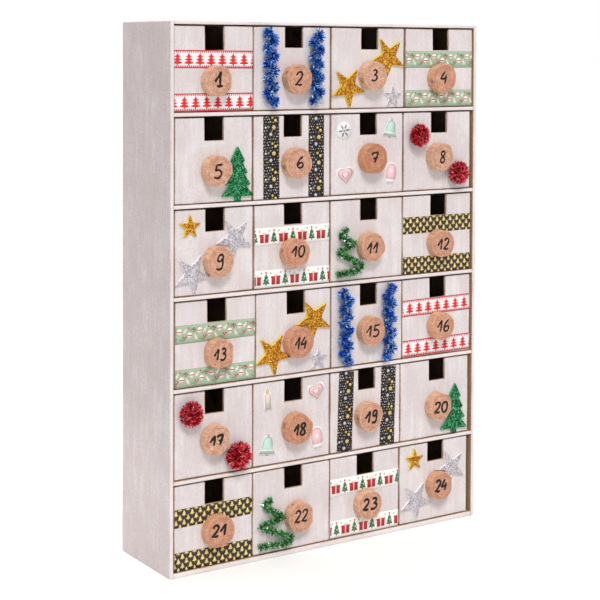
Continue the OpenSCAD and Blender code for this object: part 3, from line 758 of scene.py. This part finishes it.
def inked_number(front):
    """The drawer's number: each digit's strokes, smoothed, leaned over and set side by side on the knob."""
    x, up, height, width = NUMBERS[front.number - 1]
    text = str(front.number)
    digit_w, lefts = width, [-width / 2]
    if len(text) == 2:
        digit_w = min(0.68 * height, 0.46 * width)
        lefts.append(width / 2 - digit_w)
    strokes = []
    for digit, left in zip(text, lefts):
        for line in LONE_ONE if text == "1" else DIGITS[digit]:
            across, high = smooth_line(line, 7).T
            curve = np.stack([left + across / DIGIT_BOX * digit_w + NUMBER_LEAN * height * (high - 0.5),
                              (high - 0.5) * height], axis=-1)
            strokes.append(ink_stroke(knob_middle(front.number) + np.array([x, up]) + curve, front))
    return strokes


def layered(rows, colour, high=PRINT_HIGH):
    """Thin mirrored shape built up from rows of height and half width, each a small rectangle's ring."""
    rows = np.asarray(rows, float)
    rings = np.stack(np.broadcast_arrays(rows[:, 1:] * np.array([-1, 1, 1, -1]), rows[:, :1],
                                         np.array([PRINT_LOW, PRINT_LOW, high, high])), axis=-1)
    return shell(rings, TAPE, ink=linear(colour)[:3])


def plate(outline, levels, colour, paint):
    """Thin flat shape: its outline at two heights, joined round its edge and closed over its middle."""
    rings = np.stack([np.column_stack([outline, np.full(len(outline), level)]) for level in levels])
    return shell(rings, paint, ink=linear(colour)[:3])


def rosette(reach, colour, high=PRINT_HIGH):
    """Thin flat print whose edge is at a given reach in each direction round its middle."""
    angle = np.linspace(0, 2 * np.pi, len(reach), endpoint=False)
    return plate(polar(reach, angle), (PRINT_LOW, high), colour, TAPE)


def round_spot(radius, corners):
    """Reach of a round spot."""
    return np.full(corners, float(radius))


def flake(radius, waist, arms=6, between=1):
    """Reach of a snowflake or star: its arms' tips at the radius, the hollows between them at the waist."""
    wave = np.cos(np.arange(arms * 2 * between) * np.pi / between)
    return radius * (waist + (1 - waist) * (0.5 + 0.5 * wave))


# Prints' outlines, from the foot up: height and half width
RED_TREE = ((-5.2, 0.7), (-3.9, 0.7), (-3.85, 2), (-3.6, 3.6), (-3.1, 4.2), (-2.6, 3.9), (-2.3, 2.8),
            (-1.6, 1.5), (-1.2, 1.2), (-1.1, 2.4), (-0.6, 3.6), (-0.1, 3.3), (0.2, 2.2), (0.9, 1.2),
            (1.3, 0.9), (1.5, 2), (1.9, 2.7), (2.4, 2.4), (2.8, 1.4), (4, 0.6), (5.2, 0.1))
TOOTH = ((-0.1, 0.55), (1, 0.5), (1.5, 0.25))
GOLD_TREE = ((-2.4, 0.4), (-1.8, 0.4), (-1.7, 1.9), (-1.3, 2.05), (-0.6, 1.2), (-0.4, 1.5), (0.6, 0.8),
             (0.8, 1.1), (2.4, 0.1))
FIR = ((-5.2, 0.6), (-4, 0.6), (-3.9, 3.6), (-1.4, 1.9), (-1.3, 2.9), (1.2, 1.3), (1.3, 2.1), (4.6, 0.05))
SPRIG = ((-3, 0.2), (-1.9, 0.25), (-1.7, 1.9), (-0.9, 0.35), (-0.6, 1.7), (0.2, 0.3), (0.5, 1.3), (1.2, 0.25),
         (1.5, 0.8), (2.8, 0.05))
GIFT = ((-4.6, 4.3), (1.2, 4.3), (1.25, 4.8), (2.6, 4.8))
RIBBON = ((-4.6, 0.6), (2.6, 0.6), (2.65, 0.7), (3.6, 2.1), (4.4, 1.7), (4.6, 0.4))


def red_tree_print(reach, first, draw):
    """Red fir trees in a row, a pitch apart, between two lines with teeth."""
    spots = np.arange(-reach - 6 + RED_PITCH * first, reach + 6, RED_PITCH)
    teeth = np.arange(-reach, reach, TOOTH_PITCH)
    line = layered(((-reach, 0.4), (reach, 0.4)), "#CE1E2A")
    tooth = layered(TOOTH, "#CE1E2A")
    edge = TAPE_W / 2 - 0.5
    prints = [copies(layered(RED_TREE, "#E62E30"), np.column_stack([spots, 0 * spots]))]
    prints += [copies(line, [(0, side * edge)], turn=-90) for side in (-1, 1)]
    prints += [copies(tooth, np.column_stack([teeth, 0 * teeth + side * (edge - 0.4)]), turn=90 + 90 * side)
               for side in (-1, 1)]
    return prints


def gold_tree_print(reach, first, draw):
    """Small gold fir trees in five rows, every other row half a pitch along, each with a painted highlight
    down its middle.
    """
    row, place = np.meshgrid(np.arange(-2, 3), np.arange(-8, 9))
    spots = np.column_stack([(GOLD_PITCH * (place + (row % 2) / 2 + first)).ravel(),
                             (GOLD_PITCH / 2 * row + 0.4).ravel()])
    spots = spots[np.abs(spots[:, 0]) < reach + 2]
    warm = np.arange(len(spots)) % 3 == 0
    prints = [copies(layered(GOLD_TREE, colour), spots[chosen])
              for colour, chosen in (("#F3CF74", ~warm), ("#E6B96C", warm))]
    # Painted highlight: a paler gold shape down each tree's middle
    return prints + [copies(layered(((-1.1, 0.8), (0.9, 0.3)), "#FBE59C", PRINT_TOP), spots + (0, -0.4))]


def dotted_print(reach, first, draw):
    """Large dots and flakes at set places in each repeat, small dots on a jittered grid clear of them."""
    repeat = np.arange(-3, 4) * DOT_PITCH + first
    count = len(repeat)
    prints, taken = [], []
    for shape, colour, along, across in (
            (flake(2.3, 0.66), "#D9BE72", 0, -2.6), (round_spot(1.25, 12), "#EFD070", 5.9, -4.2),
            (round_spot(1.1, 12), "#DDBB62", 8.3, -1.1), (flake(1.9, 0.6), "#C9C8D3", -5.8, 0.5),
            (round_spot(1.1, 12), "#8F8B8C", 0.5, 2.8), (round_spot(0.9, 12), "#E4E1DD", 0, 5.6)):
        at = np.column_stack([repeat + along, np.full(count, across)])
        taken.append(np.column_stack([at, np.full(count, shape.max())]))
        prints.append(copies(rosette(shape, colour, PRINT_TOP), at, turn=draw.uniform(0, 60, count)))
    along, across = np.meshgrid(np.arange(-reach, reach + 1, DOT_GRID), np.arange(-7.2, 7.3, DOT_GRID))
    across = across + DOT_GRID / 2 * (np.arange(along.shape[1]) % 2) - DOT_GRID / 4
    spots = np.column_stack([along.ravel(), across.ravel()]) + draw.uniform(-0.45, 0.45, (along.size, 2))
    size, pick = draw.uniform(0.38, 0.64, len(spots)), draw.uniform(0, 1, len(spots))
    taken = np.concatenate(taken)
    gap = np.linalg.norm(spots[:, None] - taken[None, :, :2], axis=-1) - taken[:, 2]
    free = gap.min(axis=1) > 1.1
    for colour, low, high in (("#DAD6D2", 0, 0.42), ("#8C8889", 0.42, 0.72), ("#D0B86C", 0.72, 1)):
        chosen = (pick >= low) & (pick < high) & free
        prints.append(copies(rosette(round_spot(1, 8), colour), spots[chosen], scale=size[chosen]))
    return prints


def stamped(motifs, start, pitch):
    """Motifs printed along a tape, each at its own places in the repeat and turned in degrees."""
    repeat = start + pitch * np.arange(-2, 5)
    return [copies(shape, np.column_stack([repeat + along, np.full(len(repeat), across)]), turn=turn)
            for shape, places in motifs for along, across, turn in places]


def sage_print(reach, first, draw):
    """Pale and green sprigs, banded baubles and berries."""
    baubles = ((0, -1, 0), (9.6, 2.4, 0))
    berries = ((4, 2, 0), (5.4, 3.2, 0), (3.6, 3.9, 0), (14.2, -3.6, 0), (13, -2.2, 0), (15.4, -2.2, 0),
               (17.6, 5, 0))
    return stamped(((layered(SPRIG, "#EDE9DC"), ((5.6, -2.6, 25), (15, 2.8, -40))),
                    (layered(SPRIG, "#7FA386"), ((2.4, 4, -70), (11.4, -4.4, 80))),
                    (rosette(round_spot(2.4, 16), "#F3EFE6"), baubles),
                    (layered(((-0.4, 2.3), (0.4, 2.3)), "#C9363F", PRINT_TOP), baubles),
                    (rosette(round_spot(0.8, 8), "#CE3A40"), berries)),
                   SAGE_PITCH * first - reach, SAGE_PITCH)


def gift_print(reach, first, draw):
    """Gift boxes with ribbons and fir trees with baubles and a star by turns, and snowflakes between them."""
    gift = ((0, -0.6, 0),)
    return stamped(((layered(GIFT, "#C9333B"), gift), (layered(RIBBON, "#F0E6D8", PRINT_TOP), gift),
                    (layered(FIR, "#3C7E58"), ((9.6, -0.4, 0),)),
                    (rosette(round_spot(0.7, 8), "#D8464A", PRINT_TOP), ((9.2, -3.2, 0),)),
                    (rosette(round_spot(0.7, 8), "#F0E6D8", PRINT_TOP), ((10.4, -0.8, 0),)),
                    (rosette(flake(1.5, 0.4, 5), "#D8464A"), ((9.6, 5.2, 0),)),
                    (rosette(flake(1.2, 0.4), "#8FB59B"), ((5, 5, 0), (14.4, 4.6, 0)))),
                   GIFT_PITCH * first - reach, GIFT_PITCH)


TAPES = {"red_trees": (red_tree_print, TAPE_W, "#E9E7E8"), "gold_trees": (gold_tree_print, TAPE_W, "#30363B"),
         "dots": (dotted_print, DOTTED_TAPE_W, "#231E20"), "sage": (sage_print, TAPE_W, "#A4B59A"),
         "gifts": (gift_print, TAPE_W, "#F2F0EC")}


def strip_of(length, width):
    """A tape's ground: a thin flat ring carried along its length, rippling a little, cut slightly askew."""
    along = np.linspace(-length / 2, length / 2, 24)[:, None]
    across = np.array([-1, -0.6, 0, 0.6, 1, 1, 0.6, 0, -0.6, -1]) * width / 2
    out = np.array([-0.1] * 5 + [TAPE_T] * 5)
    ripple = 0.015 * np.sin(along / 4 + across / 5) * (out > 0)
    skew = np.clip(np.abs(along) * 2 / length, 0, 1) ** 30 * 0.02 * across
    edge = across + 0.08 * np.sin(along / 7) * np.sign(across)
    return np.stack(np.broadcast_arrays(along + skew, edge, out + ripple), axis=-1)


def stick_tape(front, name, kind, x, up, turn, length, first):
    """A tape on a drawer's front: its prints are cut off at its edges, and all is turned and moved there."""
    draw = np.random.default_rng(TAPE_SEED + 2 * front.number + (x > 0))
    prints, width, ground = TAPES[kind]
    limit = np.array([length / 2 - 0.05, width / 2 - 0.1])
    parts = [shell(strip_of(length, width), TAPE, ink=linear(ground)[:3])]
    for piece in prints(length / 2, first, draw):
        spots = piece.points + (0, 0, TAPE_T)
        spots[:, :2] = np.clip(spots[:, :2], -limit, limit)
        parts.append(piece._replace(points=spots))
    placed = []
    for part in parts:
        along, across, out = part.points.T
        along, across = turned(along, across, turn)
        placed.append(moved(part, on_front(front, np.stack([x + along, up + across, out], axis=-1))))
    make(name, front.body, placed)


def mirrored(rows):
    """Outline of a mirrored shape, up one side and down the other, through rows of height and half width."""
    line = smooth_line(rows, 5)[:, ::-1]
    return np.concatenate([line, line[::-1] * np.array([-1, 1])])


# Sticker shapes: the heart's half width is a cubed sine, and its height a sum of cosines
ROUND = np.linspace(0, 2 * np.pi, 48, endpoint=False)
RING = polar(1, ROUND)
HEART = np.stack([6.2 * np.sin(ROUND) ** 3, 5.1 * np.cos(ROUND) - 2 * np.cos(2 * ROUND)
                  - 0.8 * np.cos(3 * ROUND) - 0.4 * np.cos(4 * ROUND)], axis=-1)
BELL = mirrored(((-5.6, 0.1), (-5.6, 5.4), (-4.6, 5.5), (-2, 4), (1.5, 3.6), (4.2, 2.6), (5.4, 0.8),
                 (5.6, 0.1)))
MITTEN = mirrored(((-7, 0.1), (-7, 3), (-4, 3.2), (-3.6, 4.2), (1, 4.6), (4.6, 3.8), (6.4, 2), (6.8, 0.1)))
FLAME = mirrored(((-2.2, 0.1), (-1.8, 0.9), (-0.6, 1.2), (0.8, 0.7), (2.4, 0.1)))
CANDLE = mirrored(((-8, 0.1), (-8, 3.4), (3, 3.4), (5, 2.2), (8.4, 0.8), (8.8, 0.1)))
WAX = np.array([(-2.2, -7), (2.2, -7), (2.3, 0), (2.2, 3.4), (0.8, 3), (-0.6, 3.5), (-2.2, 3.1)])
SNOW = polar(flake(6.6, 0.16, 6, 2), np.arange(24) * np.pi / 12)
BAR = np.array([(-1, -0.35), (1, -0.35), (1, 0.35), (-1, 0.35)])

# Stickers, from the paper up: each layer's outline and colour
DESIGNS = {
    "bell": ((BELL * 1.22, "#EFEBEA"), (BELL, "#8FA39C"), (BELL * 0.9 + (0, -0.05), "#BFE0D4"),
             (BAR * (4.4, 1.4) + (0, -3.4), "#F1F3F0"), (RING * 1.2 + (0, -6), "#C79C7C"),
             (RING * 0.9 + (0, 6.1), "#B9B4B4")),
    "mitten": ((MITTEN * 1.2, "#F0ECEB"), (MITTEN, "#C59A9C"), (MITTEN * 0.9, "#F3C3C8"),
               (BAR * (3.3, 3.4) + (0, -5.6), "#F6EFEC"), (BAR * (3.3, 0.8) + (0, -4.2), "#D9A9AC"),
               (SNOW * 0.36 + (0, 1.2), "#FBF6F4")),
    "heart": ((HEART * 1.24, "#F0ECEB"), (HEART, "#C98E92"), (HEART * 0.88, "#F4CDD0"),
              (HEART * 0.5, "#D59BA0"), (HEART * 0.38, "#F6DEDE")),
    "flake": ((RING * 8.2, "#EFECEC"), (SNOW, "#8C8A90"), (RING * 1.9, "#EFECEC"), (RING * 1.1, "#8C8A90")),
    "candle": ((CANDLE, "#F0ECEB"), (WAX, "#A98B74"), (WAX * (0.84, 0.94), "#EBD3BE"),
               (BAR * (2, 1.6) + (0, -3), "#A9D6C8"), (FLAME + (0, 6), "#D8A04E"),
               (FLAME * 0.6 + (0, 5.6), "#F6DC8E"))}

# Stickers by drawer: the design, right of the middle, up from the bottom, turned in degrees and scaled
STICKERS = {7: (("flake", -25, 56, 8, 1.0), ("bell", 25.5, 57, -10, 1.25), ("heart", -23.5, 17, 6, 1.25),
                ("mitten", 26, 17, -8, 1.2)),
            18: (("candle", -24.5, 56, 4, 1.2), ("heart", 25, 57, 10, 1.2), ("bell", -24.5, 17, -6, 1.3),
                 ("mitten", 26, 16.5, 8, 1.25))}


def stickers(front):
    """Cut-paper stickers: thin layers on each other, scaled, turned and moved to their place."""
    parts = []
    for design, x, up, turn, scale in STICKERS[front.number]:
        for layer, (outline, colour) in enumerate(DESIGNS[design]):
            out = 0.12 + 0.03 * layer
            piece = copies(plate(outline, (out - 0.1, out), colour, STICKER), [(x, up)], scale, turn)
            parts.append(moved(piece, on_front(front, piece.points)))
    make("stickers_%02d" % front.number, front.body, parts)


def foam_star(front, middle, radius, turn, colour):
    """Star: ten corners at two reaches by turns, joined by straight edges, eased, carried up to a soft rim."""
    tip = np.arange(10) % 2 == 0
    corner = polar(radius * np.where(tip, STAR_TIP, STAR_WAIST), np.radians(turn + 36 * np.arange(10)))
    share = np.linspace(0, 1, 14, endpoint=False)[:, None]
    edges = corner[:, None] + share * (np.roll(corner, -1, axis=0) - corner)[:, None]
    outline = softened(edges.reshape(-1, 2), 2)
    distance = np.linalg.norm(outline, axis=1, keepdims=True)
    rows = [(1 - 0.2 / distance, 0.0), (1.0, 0.3), (1.0, FOAM_T - 0.4), (1 - 0.35 / distance, FOAM_T)]
    rows += [(part - 0.35 * part / distance, FOAM_T + 0.1 * (1 - part)) for part in (0.85, 0.62, 0.38, 0.16)]
    spots = np.stack([np.column_stack([middle + outline * scale, np.full(len(outline), out)])
                      for scale, out in rows])
    face = np.array([0, 0, 0, 1, 1, 1, 1, 1.0])[:, None]
    return shell(on_front(front, clear_of_knob(front.number, spots)), FOAM[colour], face=face)


def foam_tree(front, x, up, turn):
    """Fir tree: a low bar with eased upper edges carried up the tree, its half width following the tiers'
    outline, and the whole turned about its foot.
    """
    tier = (TREE_H - TRUNK_H) / 4.2
    half = TREE_W / 2 - 0.092 * TREE_W * np.arange(4)
    corners = [(TRUNK_W / 2, 0), (TRUNK_W / 2, TRUNK_H - 0.1)]
    for step in range(4):
        corners.append((half[step], TRUNK_H + step * tier))
        if step < 3:
            corners.append((0.64 * half[step + 1], TRUNK_H + (step + 0.84) * tier))
    corners = np.array(corners + [(0.3, TREE_H)])
    length = walked(corners)
    walk = np.linspace(0, length[-1], 120)
    width, height = (np.interp(walk, length, corners[:, column]) for column in (0, 1))
    width[1:-1] = softened(width, 1)[1:-1]
    across = np.array([-1, -0.5, 0, 0.5, 1, 1, 1, 0.75, 0.5, 0.25, 0, -0.25, -0.5, -0.75, -1, -1])
    inset = np.array([0, 0, 0, 0, 0, 0, 0.35, 0.3, 0.2, 0.1, 0, 0.1, 0.2, 0.3, 0.35, 0])
    out = np.array([0, 0, 0, 0, 0, FOAM_T - 0.4] + [FOAM_T] * 9 + [FOAM_T - 0.4])
    wide = np.sign(across) * np.maximum(np.abs(across) * width[:, None] - inset, 0.02)
    right, high = turned(wide, height[:, None], turn)
    spots = np.stack(np.broadcast_arrays(x + right, up + high, out), axis=-1)
    face = np.array([0] * 6 + [1.0] * 9 + [0])
    return shell(on_front(front, clear_of_knob(front.number, spots)), FOAM["green"], face=face)


def strands(roots, tips, width, bend, draw, paint):
    """Cut foil strips: each a three-sided bar of root, middle and tip sections, its middle pushed aside."""
    count = len(roots)
    axis = tips - roots
    side = unit(np.cross(axis, draw.normal(size=(count, 3))))
    normal = unit(np.cross(side, axis))
    share = np.array([0, 0.55, 1])[None, :, None]
    middle = roots[:, None] + axis[:, None] * share + bend[:, None] * 4 * share * (1 - share)
    half = np.array([0.5, 1, 0.6])[None, :, None] * width[:, None, None] / 2
    points = np.stack([middle - side[:, None] * half, middle + side[:, None] * half,
                       middle + normal[:, None] * 0.12], axis=2).reshape(-1, 3)
    bar = np.array([[k, (k + 1) % 3, 3 + (k + 1) % 3, 3 + k] for k in range(3)])
    start = (9 * np.arange(count))[:, None, None]
    quads = (np.concatenate([bar, bar + 3]) + start).reshape(-1, 4)
    ends = (np.array([[0, 2, 1], [6, 7, 8]]) + start).reshape(-1, 3)
    # Each strip's tone picks its painted shade or glint; its sections are marked for painted shade towards the
    # root
    tone = np.repeat(draw.beta(0.75, 0.85, count), 9)
    tip = np.tile(np.repeat([0, 0.6, 1.0], 3), count)
    return Shell(points, outward(points, [quads, ends]), paint, {"tone": tone, "tip": tip})


def kept_on_front(front, piece):
    """A piece on a drawer's front, its points kept off the face, inside its edges and off the knob."""
    right, up, out = piece.points.T
    margin, least_out = 0.3, 0.15
    edge = front.width / 2 - margin
    inside = np.stack([np.clip(right, -edge, edge), np.clip(up, margin, front.height - margin),
                       np.maximum(out, least_out)], axis=-1)
    return moved(piece, on_front(front, clear_of_knob(front.number, inside, 0.2)))


def foil_pile(front, path, wire, near, far, count, width, lean, draw, paint):
    """Foil pile on a wire: a small ring is carried along the path, and strips start near the path at random
    places and stand out square to it, leaning a little.
    """
    lift = np.array([0, 0, 1.0])
    turn = np.radians(np.arange(8) * 45.0)[None, :, None]
    beside = np.cross(unit(np.gradient(path, axis=0)), lift)
    ring = path[:, None] + wire * (np.cos(turn) * beside[:, None] + np.sin(turn) * lift)
    spot = draw.uniform(0, len(path) - 1, count)
    low = np.minimum(spot.astype(int), len(path) - 2)
    share = (spot - low)[:, None]
    middle = path[low] * (1 - share) + path[low + 1] * share
    along = unit(path[low + 1] - path[low])
    angle = draw.uniform(0, 2 * np.pi, count)[:, None]
    way = unit(np.cos(angle) * np.cross(along, lift) + np.sin(angle) * lift
               + draw.normal(0, lean, (count, 1)) * along)
    reach = draw.uniform(far * 0.78, far, (count, 1))
    bend = draw.normal(0, 0.08 * far, (count, 3))
    strips = strands(middle + way * near, middle + way * reach, draw.uniform(0.75, 1.2, count) * width, bend,
                     draw, paint)
    # The wire's ring gets a middle tone and half the roots' painted shade
    return [shell(on_front(front, ring), paint, tone=0.2, tip=0.5), kept_on_front(front, strips)]


def garland(front, x, foot, head, side, draw):
    """Hanging tinsel: its wire climbs the front and swings from side to side as a sine of its height."""
    share = np.linspace(0, 1, 80)
    path = np.stack([x + side * TINSEL_SWING * np.sin(2 * np.pi * TINSEL_SWINGS * share),
                     foot + (front.height - foot - head) * share,
                     np.full(len(share), TINSEL_R - GLUED)], axis=-1)
    return foil_pile(front, path, 0.6, 0.4, TINSEL_R - 0.3, GARLAND_STRIPS, 1.1, 0.4, draw, BLUE_FOIL)


def pompom(front, middle, size, draw):
    """Tinsel ball: strips stand out from its middle in directions spread evenly over a sphere by the golden
    angle, and the ball is pressed flatter towards the board.
    """
    count = POMPOM_STRIPS
    rank = np.arange(count) + 0.5
    level, turn = 1 - 2 * rank / count, rank * math.pi * (3 - math.sqrt(5))
    even = np.column_stack([polar(np.sqrt(1 - level ** 2), turn), level])
    half_t = (POMPOM_T + GLUED) / 2
    way = unit(even + draw.normal(0, 0.28, (count, 3))) * np.array([1, 1, half_t / POMPOM_R])
    centre = np.append(middle, half_t - GLUED)
    reach = size * POMPOM_R * draw.uniform(0.8, 1.12, (count, 1))
    width, bend = draw.uniform(0.8, 1.3, count), draw.normal(0, 1.2, (count, 3))
    strips = strands(centre + way * 1.5, centre + way * reach, width, bend, draw, RED_FOIL)
    return kept_on_front(front, strips)


def bent_stem(front, bends, draw):
    """Chenille stem: its wire runs straight between bends, each eased over about two millimetres."""
    corner = np.array(bends, float) + np.array([-front.width / 2, 0])
    length = walked(corner)
    walk = np.linspace(0, length[-1], int(length[-1] / 0.5))
    line = np.stack([np.interp(walk, length, corner[:, k]) for k in (0, 1)], axis=-1)
    for _ in range(4):
        line[1:-1] = softened(line, 1)[1:-1]
    path = np.column_stack([line, np.full(len(line), STEM_R - GLUED + 0.3)])
    path = clear_of_knob(front.number, path, STEM_R * 0.6)
    return foil_pile(front, path, 0.45, 0.3, STEM_R + 0.3, STEM_STRIPS, 0.9, 0.3, draw, GREEN_FOIL)


def set_up(name, data, place):
    """Puts a camera or a lamp in the scene at its place."""
    thing = bpy.data.objects.new(name, data)
    scene.collection.objects.link(thing)
    thing.matrix_world = place
    return thing


# Camera at the photograph's place and angle, with the lens shifted down onto the case
YAW, PITCH, ROLL = (math.radians(angle) for angle in (-33.37, -1.564, -0.225))
lens = bpy.data.cameras.new("photo_camera")
lens.sensor_width, lens.lens, lens.shift_y = 36.0, 90.43, -0.3463
lens.clip_start, lens.clip_end = 0.05, 50.0
aimed = (Matrix.Rotation(YAW, 4, "Z") @ Matrix.Rotation(PITCH, 4, "X") @ Matrix.Rotation(ROLL, 4, "Y")
         @ Matrix.Rotation(math.radians(90), 4, "X"))
scene.camera = set_up("photo_camera", lens, Matrix.Translation((-0.7416, -1.1157, 0.4310)) @ aimed)

# Soft studio light: a surround that is brightest overhead and dimmer on the left, seen as plain white by the
# camera, a broad lamp far off above the front, a little to the left, and two low panels that face down and
# light the floor at the left and behind
world = bpy.data.worlds.new("studio_surround")
scene.world = world
world.use_nodes = True
tree = world.node_tree
tree.nodes.clear()
way = add(tree, "TexCoord", out="Generated")
height = add(tree, "SeparateXYZ", {0: way}, out="Z")
leftward = add(tree, "VectorMath", {0: way, 1: (-1.0, 0.0, 0.0)}, out="Value", operation="DOT_PRODUCT")
sky = add(tree, "MapRange", {0: height, 3: 0.43, 4: 0.93})
dim = add(tree, "MapRange", {0: leftward, 2: 0.9, 3: 1.0, 4: 0.36})
lit = add(tree, "Math", {0: sky, 1: dim}, operation="MULTIPLY")
seen = add(tree, "LightPath", out="Is Camera Ray")
strength = add(tree, "Mix", {0: seen, 2: lit, 3: 1.0})
surround = add(tree, "Background", {"Color": (1.0, 1.0, 1.0, 1.0), "Strength": strength})
tree.links.new(surround, tree.nodes.new("ShaderNodeOutputWorld").inputs["Surface"])
lamp = bpy.data.lights.new("front_lamp", "SUN")
lamp.energy, lamp.angle = 2.0, math.radians(18)
set_up("front_lamp", lamp, Vector((-0.24, -0.62, 0.75)).to_track_quat("Z", "Y").to_matrix().to_4x4())
for name, place, energy, wide, deep in (("floor_lamp", (-0.36, 0.15, 0.14), 0.27, 0.25, 0.7),
                                        ("background_lamp", (0.05, 0.45, 0.32), 1.3, 0.7, 0.5)):
    panel = bpy.data.lights.new(name, "AREA")
    panel.energy, panel.shape, panel.size, panel.size_y = energy, "RECTANGLE", wide, deep
    set_up(name, panel, Matrix.Translation(place)).visible_camera = False
scene.view_settings.view_transform = "Standard"

# Floor: one wide sheet of background paper
FLOOR_REACH, FLOOR_POINTS = 60000, 9
share = np.linspace(-FLOOR_REACH, FLOOR_REACH, FLOOR_POINTS)
sheet = np.stack(np.broadcast_arrays(share[:, None], share[None], 0.0), axis=-1)
index = np.arange(FLOOR_POINTS ** 2).reshape(FLOOR_POINTS, FLOOR_POINTS)
quads = np.stack([index[:-1, :-1], index[1:, :-1], index[1:, 1:], index[:-1, 1:]], axis=-1)
sheet_mesh = bpy.data.meshes.new("background_paper")
sheet_mesh.from_pydata((sheet.reshape(-1, 3) * MM).tolist(), [], quads.reshape(-1, 4).tolist())
sheet_mesh.materials.append(finish("matt_background_paper", studio_paper))
floor = bpy.data.objects.new("background_paper", sheet_mesh)
scene.collection.objects.link(floor)

# Case boards: the brush ran up the sides and back, and along the top, base and shelves
for node, brush, raw, tone, streaky in (
        ("left_side", 2, ((0, 1),), 0.1, 0.6), ("right_side", 2, ((0, -1),), 0.35, 0.6),
        ("top_panel", 0, ((2, -1),), 0.5, 0.5), ("base_panel", 0, ((2, 1), (2, -1)), 0.62, 0.4),
        ("back_panel", 2, ((1, -1),), 0.8, 0.6)):
    make(node + "_board", "case", [board(*box_of(node), brush, raw, tone, streaky)], [node])
shelf_lo, shelf_hi = box_of("shelves")
for step, under in enumerate(np.linspace(shelf_lo[2], shelf_hi[2] - SHELF_T, SHELVES)):
    lo, hi = np.append(shelf_lo[:2], under), np.append(shelf_hi[:2], under + SHELF_T)
    make("shelf_board_%d" % (SHELVES - step), "case",
         [board(lo, hi, 0, ((2, 1), (2, -1)), 0.07 + 0.19 * step)], ["shelves"])

# Drawers with what is glued on them
for number in range(1, 25):
    front = front_of(number)
    tag = "%02d" % number
    draw = np.random.default_rng(ORNAMENT_SEED + number)
    half = front.width / 2
    make("drawer_box_" + tag, front.body, [drawer_box(front)], [front.body])
    knob_node = "knob_" + ("and_stars_" if number in STARS else "and_tree_" if number in TREES else "") + tag
    make("branch_knob_" + tag, front.body, [branch_knob(front)], [knob_node])
    make("number_" + tag, front.body, inked_number(front))
    if number in LEVEL_TAPES:
        kind, upper, lower, *first = LEVEL_TAPES[number]
        for name, up, cut in zip(("upper", "lower"), (upper, lower), first):
            stick_tape(front, "tape_%s_%s" % (tag, name), kind, 0, up, draw.normal(0, 0.35),
                       front.width - TAPE_GAP, cut)
    for name, x, lean, first in UPRIGHT_TAPES.get(number, ()):
        stick_tape(front, "tape_%s_%s" % (tag, name), "dots", x, front.height / 2, 90 + lean,
                   front.height - TAPE_GAP, first)
    if number in STARS:
        colour, upper, lower, small = STARS[number]
        small_middle = ((half - small[0], small[1]) if colour == "gold"
                        else (small[0] - half, front.height - small[1]))
        for name, middle, radius, turn, foam in (
                ("upper", (half - upper[0], front.height - upper[1]), STAR_R[colour], upper[2], colour),
                ("lower", (lower[0] - half, lower[1]), STAR_R[colour], lower[2], colour),
                ("small", small_middle, SMALL_STAR_R, small[2], SMALL_STAR[colour])):
            make("star_%s_%s" % (tag, name), front.body,
                 [foam_star(front, np.array(middle), radius, turn, foam)], [knob_node])
    if number in TREES:
        x, up, turn = TREES[number]
        make("fir_tree_" + tag, front.body, [foam_tree(front, half - x, up, turn)], [knob_node])
    if number in TINSEL:
        left, right = TINSEL[number]
        make("tinsel_garlands_" + tag, front.body,
             garland(front, left[0] - half, *left[1:], 1, draw)
             + garland(front, half - right[0], *right[1:], -1, draw), ["tinsel_" + tag], False)
    if number in POMPOMS:
        upper, lower = POMPOMS[number]
        make("tinsel_pompoms_" + tag, front.body,
             [pompom(front, np.array([upper[0] - half, front.height - upper[1]]), upper[2], draw),
              pompom(front, np.array([half - lower[0], lower[1]]), lower[2], draw)],
             ["pompoms_" + tag], False)
    if number in CHENILLE:
        make("chenille_stem_" + tag, front.body, bent_stem(front, CHENILLE[number], draw),
             ["chenille_tree_" + tag], False)
for number in STICKERS:
    stickers(front_of(number))
